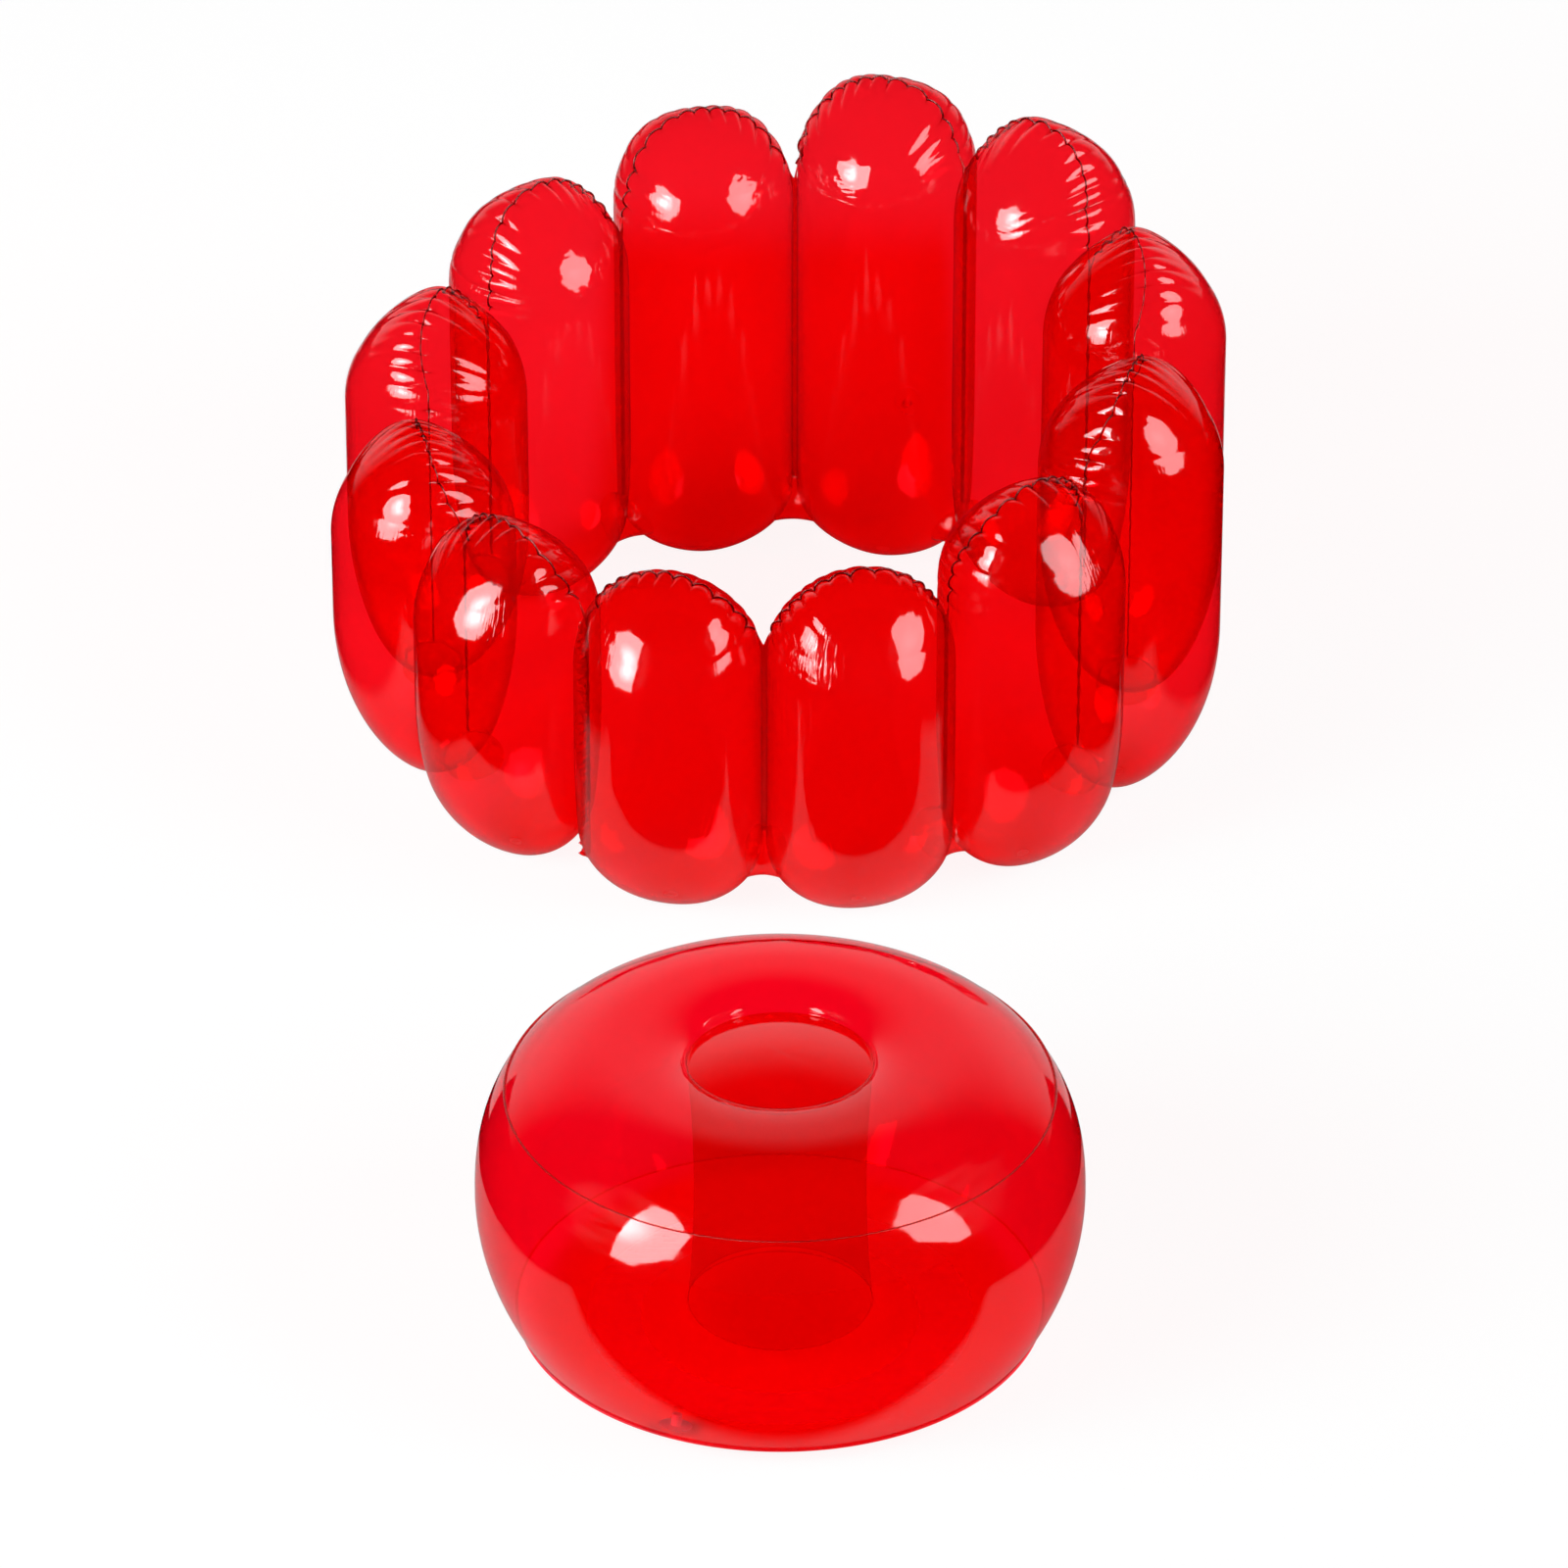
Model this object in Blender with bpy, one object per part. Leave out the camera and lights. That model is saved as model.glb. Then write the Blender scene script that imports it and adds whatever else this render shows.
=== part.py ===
"""Inflatable chair: a ring of upright air tubes and a round seat that stands by itself.

Every soft piece is real film: the tubes, the seat's sheets and its inner column are hollow
shells of one film thickness. Lengths are in metres, +Z is up, and the chair faces -Y.
A direction in plan is an angle from -Y, turning towards +X.
"""
import math

import bmesh
import bpy
from mathutils import Matrix, Vector

# Film and fits
FILM = 0.0005                    # thickness of the clear red film
CLEARANCE = 0.0003               # gap left between two pieces that touch
WELD_WIDTH = 0.004               # a welded strip between two tubes, from tube to tube
EDGE_WELD_WIDTH = 0.003          # how far the outline weld stands out of a tube
SEAM_WIDTH = 0.0025              # how far a seat seam stands out
OVERRUN = 0.004                  # how far a cutter reaches past what it cuts
FOOT_CUT = 0.0005                # depth of the flat that the floor makes on a round foot

# Ring of tubes
TUBE_COUNT = 12
RING_RADIUS = 0.420              # from the ring's axis to the middle of every tube
FRONT_HEIGHT = 0.428             # tubes on both sides of the closing weld
BACK_HEIGHT = 0.634              # the two tallest tubes
RISE_SHARES = (0.0, 0.05, 0.31, 0.55, 0.78, 1.0)      # front pair to back pair

# Shape of a tube, as shares of its radius
LOW_OUTLINE_SHARE = 0.80         # run over which the foot widens to full width
TOP_OUTLINE_SHARE = 1.10         # the same for the head
LOW_SWELL_SHARE = 1.90           # run over which the foot swells to full thickness
TOP_SWELL_SHARE = 1.25           # the same for the head
HEAD_POWER_SHARE = 0.75          # 0.5 is a round head, more draws it to the weld
MIDDLE_LEAN_SHARE = 0.08         # how far inwards the outline weld lies on the head
PASSAGE_LOW_SHARE = 0.36         # lower and upper edge of the air passages
PASSAGE_HIGH_SHARE = 0.88
FOOT_LEVEL_SHARES = (0.12, PASSAGE_LOW_SHARE, PASSAGE_HIGH_SHARE, LOW_SWELL_SHARE)
HEAD_LEVEL_SHARES = (TOP_SWELL_SHARE, 0.95, 0.50, 0.20, 0.06)
NOTCH_SHARE = 0.85               # the notch between two heads, below the lower head
EDGE_START_SHARE = 0.68          # where the outline weld leaves the notch and turns upright
OUTER_SIDES = 9                  # flat sides of a tube outside the ring
INNER_SIDES = 6                  # flat sides of a tube inside the ring

# Closing weld, where the strip of tubes was joined into a ring
CRINKLE_DEPTH = 0.0012
CRINKLE_PITCH = 0.014
CREASE_ANGLE = math.radians(40)  # edges sharper than this stay crisp

# Seat
SEAT_RADIUS = 0.324              # at the widest height
SEAT_HEIGHT = 0.340
WIDEST_HEIGHT = 0.163
CREST_RADIUS = 0.170             # the highest circle of the top sheet
TOP_SEAM_INSET = 0.034           # from the widest circle in to the top sheet's seam
SHOULDER_POWER_SHARE = 2.35      # 2 is a true oval from crest to widest height
FLOOR_RADIUS = 0.193             # the bottom sheet lifts off the floor outside it
LOW_SEAM_INSET = 0.044           # from the widest circle in to the bottom sheet's seam
LOW_SEAM_HEIGHT = 0.019
COLUMN_RADIUS = 0.0985           # where the column is welded to the sheets
CRATER_DEPTH = 0.021             # the weld circle below the crest
DOME_RISE = 0.014                # bulge of the round end inside the weld circle
COLUMN_WAIST_SHARE = 0.93
CRATER_POWER_SHARE = 2.2
LOW_BAND_POWER_SHARE = 2.0
SEAT_SIDES = 32
BAND_LEVEL_SHARES = (-1.0, -0.72, -0.36, 0.0, 0.36, 0.72, 1.0)
COLUMN_WELD_HEIGHT = 0.003
SHOULDER_SHARES = (0.80, 0.50)   # circles of the top sheet between the crest and the seam
CRATER_SIDE_SHARE = 0.4          # circle between the column's weld and the crest
COLUMN_LEVEL_SHARES = (0.0, 0.3, 0.7, 1.0)

# Where the seat stands: seen from the front right, it is straight before the ring
STAND_DISTANCE = 1.240           # from the ring's axis to the seat's axis
STAND_ANGLE = math.radians(32.5)

# Inflation valves
VALVE_FLANGE_RADIUS = 0.0165
VALVE_FLANGE = 0.0008            # thickness of the flange
VALVE_STEM_RADIUS = 0.0050
VALVE_BORE_RADIUS = 0.0033
VALVE_STEM_LENGTH = 0.020
STOPPER_CLEARANCE = 0.0001       # running fit of the stopper's shank
STOPPER_SHANK_LENGTH = 0.009
STOPPER_HEAD_RADIUS = 0.0068
STOPPER_HEAD = 0.0014
STOPPER_TAPER = 0.0006
PULL_TAB_LENGTH = 0.005
PULL_TAB_WIDTH = 0.005
FLAP_RADIUS = 0.0046
FLAP_THICKNESS = 0.0005
VALVE_SIDES = 20
VALVE_BAND_SHARES = (0.38, 0.78)  # where the seat's valve sits, from the floor to the seam
VALVE_TUBE = 7                   # the ring's valve is behind, on this tube

# Worked out from the sizes above
HALF_STEP = math.pi / TUBE_COUNT
WELD_PLANE_GAP = WELD_WIDTH / 2 + CLEARANCE
TUBE_RADIUS = RING_RADIUS * math.sin(HALF_STEP) - WELD_PLANE_GAP
WELD_RADIUS = RING_RADIUS * math.cos(HALF_STEP)
WELD_X = TUBE_RADIUS * math.cos(HALF_STEP)
WELD_Y = -TUBE_RADIUS * math.sin(HALF_STEP)
TOP_SEAM_RADIUS = SEAT_RADIUS - TOP_SEAM_INSET
LOW_SEAM_RADIUS = SEAT_RADIUS - LOW_SEAM_INSET


def plan(radius, angle):
    """Point in plan at an angle from -Y towards +X."""
    return Vector((radius * math.sin(angle), -radius * math.cos(angle), 0))


def set_centres():
    """Centres of the ring and the seat, with the middle of both pieces at the origin."""
    ring_reach = WELD_RADIUS + RING_RADIUS * math.sin(HALF_STEP) - WELD_PLANE_GAP
    seat_reach = SEAT_RADIUS
    away = plan(STAND_DISTANCE, STAND_ANGLE)
    low = Vector((min(-ring_reach, away.x - seat_reach), min(-ring_reach, away.y - seat_reach), 0))
    high = Vector((max(ring_reach, away.x + seat_reach), max(ring_reach, away.y + seat_reach), 0))
    middle = (low + high) / 2
    return -middle, away - middle


RING_CENTRE, SEAT_CENTRE = set_centres()


def clear_scene():
    for old in list(bpy.data.objects):
        bpy.data.objects.remove(old, do_unlink=True)


def make_material(name, colour, roughness, metallic=0.0, alpha=1.0):
    material = bpy.data.materials.new(name)
    material.use_nodes = True
    shader = material.node_tree.nodes["Principled BSDF"]
    shader.inputs["Base Color"].default_value = (*colour, 1.0)
    shader.inputs["Roughness"].default_value = roughness
    shader.inputs["Metallic"].default_value = metallic
    shader.inputs["Alpha"].default_value = alpha
    return material


def materials():
    return {
        "film": make_material("clear_red_film", (0.86, 0.01, 0.02), 0.08, alpha=0.6),
        "weld": make_material("welded_film", (0.62, 0.005, 0.01), 0.25, alpha=0.85),
        "valve": make_material("clear_valve_moulding", (0.92, 0.25, 0.28), 0.30),
    }


def add_object(name, mesh_maker, material, place=Matrix(), parent=None):
    """Object with its own mesh: mesh_maker fills a bmesh in the object's own frame."""
    shape = bmesh.new()
    mesh_maker(shape)
    mesh = bpy.data.meshes.new(name)
    shape.to_mesh(mesh)
    shape.free()
    mesh.shade_smooth()
    mesh.set_sharp_from_angle(angle=CREASE_ANGLE)
    thing = bpy.data.objects.new(name, mesh)
    mesh.materials.append(material.copy())
    bpy.context.scene.collection.objects.link(thing)
    thing.matrix_world = place
    if parent is not None:
        thing.parent = parent
        thing.matrix_parent_inverse = parent.matrix_world.inverted()
    return thing


def add_empty(name, place, parent=None):
    empty = bpy.data.objects.new(name, None)
    bpy.context.scene.collection.objects.link(empty)
    empty.matrix_world = place
    if parent is not None:
        empty.parent = parent
        empty.matrix_parent_inverse = parent.matrix_world.inverted()
    bpy.context.view_layer.update()
    return empty


def thicken(thing):
    """Give a surface the film's thickness, on its inner side."""
    wall = thing.modifiers.new("film_thickness", "SOLIDIFY")
    wall.thickness = FILM
    wall.offset = -1.0
    wall.use_even_offset = True
    return thing


def loft(shape, rings, skip=()):
    """Faces between rings of points; skip holds (side, ring) pairs that stay open."""
    rows = [[shape.verts.new(point) for point in ring] for ring in rings]
    sides = len(rows[0])
    for level in range(len(rows) - 1):
        for side in range(sides):
            if (side, level) in skip:
                continue
            after = (side + 1) % sides
            low, high = rows[level], rows[level + 1]
            shape.faces.new((low[side], low[after], high[after], high[side]))
    return rows


def turned(shape, profile, sides, start_pole=False, end_pole=False, ends_meet=False):
    """Surface of revolution about Z; the profile runs from below, outwards, up and in."""
    angles = [2 * math.pi * side / sides for side in range(sides)]
    rings = []
    for radius, height in profile:
        rings.append([plan(radius, angle) + Vector((0, 0, height)) for angle in angles])
    if start_pole:
        rings = rings[1:]
    if end_pole:
        rings = rings[:-1]
    rows = loft(shape, rings)
    if start_pole:
        pole = shape.verts.new((0, 0, profile[0][1]))
        for side, vert in enumerate(rows[0]):
            shape.faces.new((pole, rows[0][(side + 1) % sides], vert))
    if end_pole:
        pole = shape.verts.new((0, 0, profile[-1][1]))
        for side, vert in enumerate(rows[-1]):
            shape.faces.new((vert, rows[-1][(side + 1) % sides], pole))
    if ends_meet:
        for side, vert in enumerate(rows[-1]):
            after = (side + 1) % sides
            shape.faces.new((vert, rows[-1][after], rows[0][after], rows[0][side]))


# Tubes of the ring

def tube_height(number):
    """Tubes 1 and 12 stand by the closing weld, and the heights rise in pairs."""
    pair = min(number, TUBE_COUNT + 1 - number) - 1
    return FRONT_HEIGHT + (BACK_HEIGHT - FRONT_HEIGHT) * RISE_SHARES[pair]


def quarter(run_share, power=0.5):
    """Rise from 0 to 1 along a quarter oval."""
    rest = 1 - min(max(run_share, 0.0), 1.0)
    return (1 - rest * rest) ** power


def middle_y(x, lean=1.0):
    """Line in plan that the outline weld follows, from weld to weld."""
    centre = -MIDDLE_LEAN_SHARE * TUBE_RADIUS
    return lean * (centre + (WELD_Y - centre) * (x / WELD_X) ** 2)


def head_lean(run, length):
    """1 where the tube is held by its neighbours, falling to 0 at the top of its head."""
    return min(1.0, (length - run) / (EDGE_START_SHARE * TUBE_RADIUS))


def section_angles():
    outer = [-HALF_STEP + (math.pi + 2 * HALF_STEP) * k / OUTER_SIDES for k in range(OUTER_SIDES)]
    start = math.pi + HALF_STEP
    inner = [start + (math.pi - 2 * HALF_STEP) * k / INNER_SIDES for k in range(INNER_SIDES)]
    return outer + inner


def tube_section(run, length):
    """Ring of points around a tube, at a run up its length; x is across, y is outwards."""
    width = quarter(run / (LOW_OUTLINE_SHARE * TUBE_RADIUS))
    width *= quarter((length - run) / (TOP_OUTLINE_SHARE * TUBE_RADIUS))
    swell = quarter(run / (LOW_SWELL_SHARE * TUBE_RADIUS))
    swell *= quarter((length - run) / (TOP_SWELL_SHARE * TUBE_RADIUS), HEAD_POWER_SHARE)
    lean = head_lean(run, length)
    points = []
    for angle in section_angles():
        x = TUBE_RADIUS * math.cos(angle)
        y = TUBE_RADIUS * math.sin(angle)
        middle = middle_y(width * x, lean)
        points.append(Vector((width * x, middle + swell * (y - middle_y(x)), run - FOOT_CUT)))
    return points


def tube_runs(length):
    feet = [FOOT_CUT] + [share * TUBE_RADIUS for share in FOOT_LEVEL_SHARES]
    heads = [length - share * TUBE_RADIUS for share in HEAD_LEVEL_SHARES]
    return feet + heads


def port_faces(right, left):
    """Sides of the passage level that stay open towards a neighbour."""
    level = 1 + FOOT_LEVEL_SHARES.index(PASSAGE_LOW_SHARE)
    count = OUTER_SIDES + INNER_SIDES
    sides = []
    if right:
        sides += [count - 1, 0]
    if left:
        sides += [OUTER_SIDES - 1, OUTER_SIDES]
    return {(side, level) for side in sides}


def tube_surface(number):
    """Film of one tube: a flat foot, a swelling body and a head drawn to the outline weld."""
    length = tube_height(number) + FOOT_CUT
    skip = port_faces(right=number > 1, left=number < TUBE_COUNT)

    def fill(shape):
        rows = loft(shape, [tube_section(run, length) for run in tube_runs(length)], skip=skip)
        shape.faces.new(list(reversed(rows[0])))
        pole = shape.verts.new((0, 0, length - FOOT_CUT))
        for side, vert in enumerate(rows[-1]):
            shape.faces.new((vert, rows[-1][(side + 1) % len(rows[-1])], pole))
    return fill


def tube_angle(number):
    return HALF_STEP * (2 * number - 1)


def on_ring(angle, radius=RING_RADIUS):
    """Frame on the ring: y points outwards, x clockwise, z up."""
    place = RING_CENTRE + plan(radius, angle)
    return Matrix.Translation(place) @ Matrix.Rotation(angle + math.pi, 4, "Z")


def make_tubes(paints, ring):
    tubes = []
    for number in range(1, TUBE_COUNT + 1):
        tube = add_object(f"ring_tube_{number:02d}", tube_surface(number), paints["film"],
                          on_ring(tube_angle(number)), ring)
        tubes.append(thicken(tube))
    return tubes


# Welds and passages between the tubes

def in_weld_frame(point):
    """A tube's point seen from the weld plane on its right: distance off it, run along it."""
    off = RING_RADIUS * math.sin(HALF_STEP)
    off -= point.x * math.cos(HALF_STEP) - point.y * math.sin(HALF_STEP)
    along = point.x * math.sin(HALF_STEP) + (point.y + RING_RADIUS) * math.cos(HALF_STEP)
    return off, along - WELD_RADIUS


def passage_surface(shape):
    """Short sleeve that follows the open port of one tube to the same port of the next."""
    low = tube_section(PASSAGE_LOW_SHARE * TUBE_RADIUS, BACK_HEIGHT)
    high = tube_section(PASSAGE_HIGH_SHARE * TUBE_RADIUS, BACK_HEIGHT)
    port = [low[1], high[1], high[0], high[-1], low[-1], low[0]]
    near, far = [], []
    for point in port:
        off, along = in_weld_frame(point)
        near.append(Vector((off - CLEARANCE, along, point.z)))
        far.append(Vector((CLEARANCE - off, along, point.z)))
    loft(shape, [far, near])


def make_passages(paints, ring):
    for number in range(1, TUBE_COUNT):
        angle = 2 * HALF_STEP * number
        sleeve = add_object(f"air_passage_{number:02d}", passage_surface, paints["film"],
                            on_ring(angle, WELD_RADIUS), ring)
        thicken(sleeve)


def notch_height(left, right):
    return min(tube_height(left), tube_height(right)) - NOTCH_SHARE * TUBE_RADIUS


def weld_strip(low, high, crinkle=0.0):
    """Strip of two welded films; a crinkle swings it to and fro across its width."""
    def fill(shape):
        steps = max(1, round((high - low) / CRINKLE_PITCH)) if crinkle else 1
        rings = []
        for step in range(steps + 1):
            height = low + (high - low) * step / steps
            swing = crinkle * (1 if step % 2 else -1)
            rings.append([Vector((-WELD_WIDTH / 2, swing - FILM, height)),
                          Vector((WELD_WIDTH / 2, swing - FILM, height)),
                          Vector((WELD_WIDTH / 2, swing + FILM, height)),
                          Vector((-WELD_WIDTH / 2, swing + FILM, height))])
        rows = loft(shape, rings)
        shape.faces.new(list(reversed(rows[0])))
        shape.faces.new(rows[-1])
    return fill


def make_welds(paints, ring):
    passage_top = PASSAGE_HIGH_SHARE * TUBE_RADIUS - FOOT_CUT + CLEARANCE
    for number in range(1, TUBE_COUNT):
        strip = weld_strip(passage_top, notch_height(number, number + 1))
        add_object(f"tube_weld_{number:02d}", strip, paints["weld"],
                   on_ring(2 * HALF_STEP * number, WELD_RADIUS), ring)
    low = PASSAGE_LOW_SHARE * TUBE_RADIUS
    closing = weld_strip(low, notch_height(1, TUBE_COUNT), CRINKLE_DEPTH)
    add_object("closing_weld", closing, paints["weld"], on_ring(0, WELD_RADIUS), ring)


# Outline weld: one strip that runs over all heads and dips into the notches between them

def outline_point(run, length, side):
    """Corner of the tube that carries the outline weld; side is 1 clockwise, -1 the other way."""
    width = quarter(run / (LOW_OUTLINE_SHARE * TUBE_RADIUS))
    width *= quarter((length - run) / (TOP_OUTLINE_SHARE * TUBE_RADIUS))
    x = width * WELD_X
    return Vector((side * x, middle_y(x, head_lean(run, length)), run - FOOT_CUT))


def head_outline(number):
    """The tube's corner from the notch on its clockwise side over the head to the other notch."""
    length = tube_height(number) + FOOT_CUT
    paths = {}
    for side, neighbour in ((1, number - 1), (-1, number + 1)):
        neighbour = (neighbour - 1) % TUBE_COUNT + 1
        lower = min(tube_height(number), tube_height(neighbour)) + FOOT_CUT
        start = lower - EDGE_START_SHARE * TUBE_RADIUS
        runs = [start] + [run for run in tube_runs(length)[-len(HEAD_LEVEL_SHARES):] if run > start]
        paths[side] = [outline_point(run, length, side) for run in runs]
    top = Vector((0, 0, length - FOOT_CUT))
    return paths[1] + [top] + list(reversed(paths[-1]))


def notch_point(number, neighbour, side):
    """Bottom of the notch, on the weld plane, seen from the tube beside it."""
    reach = TUBE_RADIUS + WELD_PLANE_GAP
    return Vector((side * reach * math.cos(HALF_STEP), -reach * math.sin(HALF_STEP),
                   notch_height(number, neighbour)))


def outward_at(before, here, after):
    """Direction away from the tube at a corner of a path, stretched to mitre the strip."""
    normals = []
    for start, end in ((before, here), (here, after)):
        along = end - start
        if along.length > 0:
            normals.append(Vector((along.z, 0, -along.x)).normalized())
    bisector = sum(normals, Vector()).normalized()
    return bisector / bisector.dot(normals[0])


def outline_stations():
    """Points of the strip with the direction across it and the direction through it."""
    stations = []
    for number in range(1, TUBE_COUNT + 1):
        place = on_ring(tube_angle(number))
        points = head_outline(number)
        first, last = points[0], points[-1]
        if number > 1:
            first = notch_point(number, number - 1, 1)
        if number < TUBE_COUNT:
            last = notch_point(number, number + 1, -1)
        path = [first] + points + [last]
        turn = place.to_3x3()
        for before, here, after in zip(path, path[1:], path[2:]):
            stations.append((place @ here, turn @ outward_at(before, here, after),
                             turn @ Vector((0, 1, 0))))
        if number < TUBE_COUNT:
            stations.append(notch_station(number))
    return stations


def notch_station(number):
    """The strip's turning point between two heads, where its two branches meet in a V."""
    place = on_ring(2 * HALF_STEP * number, WELD_RADIUS)
    bottom = Vector((0, 0, notch_height(number, number + 1)))
    branches = []
    for tube, end, side in ((number, -1, 1), (number + 1, 0, -1)):
        point = head_outline(tube)[end]
        off = in_weld_frame(Vector((abs(point.x), point.y, point.z)))[0]
        branches.append((Vector((side * off, 0, point.z)) - bottom).normalized())
    bisector = (branches[0] + branches[1]).normalized()
    stretch = 1 / branches[0].cross(bisector).length
    turn = place.to_3x3()
    return place @ bottom, turn @ (bisector * stretch), turn @ Vector((0, 1, 0))


def outline_strip(shape):
    rings = []
    for point, out, through in outline_stations():
        foot = point + out * CLEARANCE
        edge = point + out * (CLEARANCE + EDGE_WELD_WIDTH)
        depth = through * FILM
        rings.append([foot - depth, foot + depth, edge + depth, edge - depth])
    rows = loft(shape, rings)
    shape.faces.new(list(reversed(rows[0])))
    shape.faces.new(rows[-1])
    bmesh.ops.recalc_face_normals(shape, faces=shape.faces)


def make_outline_weld(paints, ring):
    add_object("head_outline_weld", outline_strip, paints["weld"], Matrix(), ring)


# Seat

def crater_drop(radius):
    """Depth below the crest between the weld circle and the crest."""
    share = (CREST_RADIUS - radius) / (CREST_RADIUS - COLUMN_RADIUS)
    return CRATER_DEPTH * share ** CRATER_POWER_SHARE


def shoulder_drop(radius):
    """Depth below the crest out to the top seam, on an oval that ends at the widest circle."""
    share = (radius - CREST_RADIUS) / (SEAT_RADIUS - CREST_RADIUS)
    return (SEAT_HEIGHT - WIDEST_HEIGHT) * (1 - oval(share))


def oval(share):
    """Falls from 1 to 0 along a quarter of an oval with full corners."""
    return (1 - min(share, 1.0) ** SHOULDER_POWER_SHARE) ** (1 / SHOULDER_POWER_SHARE)


def floor_lift(radius):
    """Height of the bottom sheet outside the part that lies on the floor."""
    share = max(0.0, radius - FLOOR_RADIUS) / (LOW_SEAM_RADIUS - FLOOR_RADIUS)
    return LOW_SEAM_HEIGHT * share * share


def dome_drop(radius):
    share = radius / COLUMN_RADIUS
    return CRATER_DEPTH - DOME_RISE * (1 - share * share)


def middle_drop(radius):
    """Depth of the dome, its weld circle and the crater, inside the crest."""
    return dome_drop(radius) if radius < COLUMN_RADIUS else crater_drop(radius)


def top_height(radius):
    drop = middle_drop(radius) if radius < CREST_RADIUS else shoulder_drop(radius)
    return SEAT_HEIGHT - drop


def bottom_height(radius):
    """Its middle is the top sheet's turned over, cut flat where it meets the floor."""
    lift = middle_drop(radius) if radius < CREST_RADIUS else floor_lift(radius)
    return max(0.0, lift - FOOT_CUT)


def blend(low, high, share):
    return low + (high - low) * share


def valve_band():
    """The two circles of the bottom sheet between which the seat's valve sits."""
    return [blend(FLOOR_RADIUS, LOW_SEAM_RADIUS, share) for share in VALVE_BAND_SHARES]


def top_profile():
    """Top sheet from its seam over the crest and the weld circle to the middle."""
    shoulder = [blend(CREST_RADIUS, TOP_SEAM_RADIUS, share) for share in SHOULDER_SHARES]
    radii = [TOP_SEAM_RADIUS, *shoulder, CREST_RADIUS,
             blend(COLUMN_RADIUS, CREST_RADIUS, CRATER_SIDE_SHARE), COLUMN_RADIUS,
             COLUMN_RADIUS / 2, 0.0]
    return [(radius, top_height(radius)) for radius in radii]


def floor_radii():
    """The two circles between which the bottom sheet lies flat on the floor."""
    inner_share = (FOOT_CUT / CRATER_DEPTH) ** (1 / CRATER_POWER_SHARE)
    outer_share = math.sqrt(FOOT_CUT / LOW_SEAM_HEIGHT)
    return (blend(CREST_RADIUS, COLUMN_RADIUS, inner_share),
            blend(FLOOR_RADIUS, LOW_SEAM_RADIUS, outer_share))


def bottom_profile():
    """Bottom sheet from its middle out to its seam, flat where it rests."""
    inner, outer = floor_radii()
    radii = [0.0, COLUMN_RADIUS / 2, COLUMN_RADIUS,
             blend(COLUMN_RADIUS, CREST_RADIUS, CRATER_SIDE_SHARE),
             inner, outer, *valve_band(), LOW_SEAM_RADIUS]
    return [(radius, bottom_height(radius)) for radius in radii]


def band_edges():
    """Heights of the side band's edges, which lie against the inner faces of both sheets."""
    return (bottom_height(LOW_SEAM_RADIUS) + FILM + CLEARANCE,
            top_height(TOP_SEAM_RADIUS) - FILM - CLEARANCE)


def band_radius(height):
    """Side band's radius at a height between its edges; above, it goes on the shoulder's oval."""
    if height > WIDEST_HEIGHT:
        share = (height - WIDEST_HEIGHT) / (SEAT_HEIGHT - FILM - WIDEST_HEIGHT)
        return blend(CREST_RADIUS, SEAT_RADIUS, oval(share))
    share = (WIDEST_HEIGHT - height) / (WIDEST_HEIGHT - band_edges()[0])
    return blend(SEAT_RADIUS, LOW_SEAM_RADIUS, share ** LOW_BAND_POWER_SHARE)


def band_profile():
    """Side band from the bottom seam to the top seam."""
    low, high = band_edges()
    heights = [blend(WIDEST_HEIGHT, high if share > 0 else low, abs(share))
               for share in BAND_LEVEL_SHARES]
    return [(band_radius(height), height) for height in heights]


def column_profile():
    """Inner column from weld circle to weld circle, drawn in at half height."""
    low = bottom_height(COLUMN_RADIUS) + 2 * FILM + CLEARANCE
    high = top_height(COLUMN_RADIUS) - 2 * FILM - CLEARANCE
    profile = []
    for share in COLUMN_LEVEL_SHARES:
        waist = 1 - (1 - COLUMN_WAIST_SHARE) * 4 * share * (1 - share)
        profile.append((COLUMN_RADIUS * waist, low + (high - low) * share))
    return profile


def ring_bar(shape, inner, outer, low, high):
    """Closed ring of rectangular section, for a weld or a seam."""
    profile = [(inner, low), (outer, low), (outer, high), (inner, high)]
    turned(shape, profile, SEAT_SIDES, ends_meet=True)


def at_seat():
    return Matrix.Translation(SEAT_CENTRE)


def make_seat(paints, seat):
    film, weld = paints["film"], paints["weld"]
    top = add_object("seat_top_sheet",
                     lambda shape: turned(shape, top_profile(), SEAT_SIDES, end_pole=True),
                     film, at_seat(), seat)
    band = add_object("seat_side_band",
                      lambda shape: turned(shape, band_profile(), SEAT_SIDES),
                      film, at_seat(), seat)
    bottom = add_object("seat_bottom_sheet",
                        lambda shape: turned(shape, bottom_profile(), SEAT_SIDES, start_pole=True),
                        film, at_seat(), seat)
    column = add_object("seat_column",
                        lambda shape: turned(shape, column_profile(), SEAT_SIDES),
                        film, at_seat(), seat)
    for sheet in (top, band, bottom, column):
        thicken(sheet)
    low, high = band_edges()
    for name, height, beside in (("seat_top_seam", high, high - FILM),
                                 ("seat_bottom_seam", low, low + FILM)):
        inner = band_radius(beside) + CLEARANCE
        add_object(name, lambda shape, inner=inner, height=height: ring_bar(
            shape, inner, inner + SEAM_WIDTH, height - FILM, height + FILM),
            weld, at_seat(), seat)
    low, high = column_profile()[0][1], column_profile()[-1][1]
    weld_inner = COLUMN_RADIUS + CLEARANCE
    for name, start in (("column_bottom_weld", low), ("column_top_weld", high - COLUMN_WELD_HEIGHT)):
        add_object(name, lambda shape, start=start: ring_bar(
            shape, weld_inner, weld_inner + FILM, start, start + COLUMN_WELD_HEIGHT),
            weld, at_seat(), seat)
    return bottom


# Valves

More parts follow.
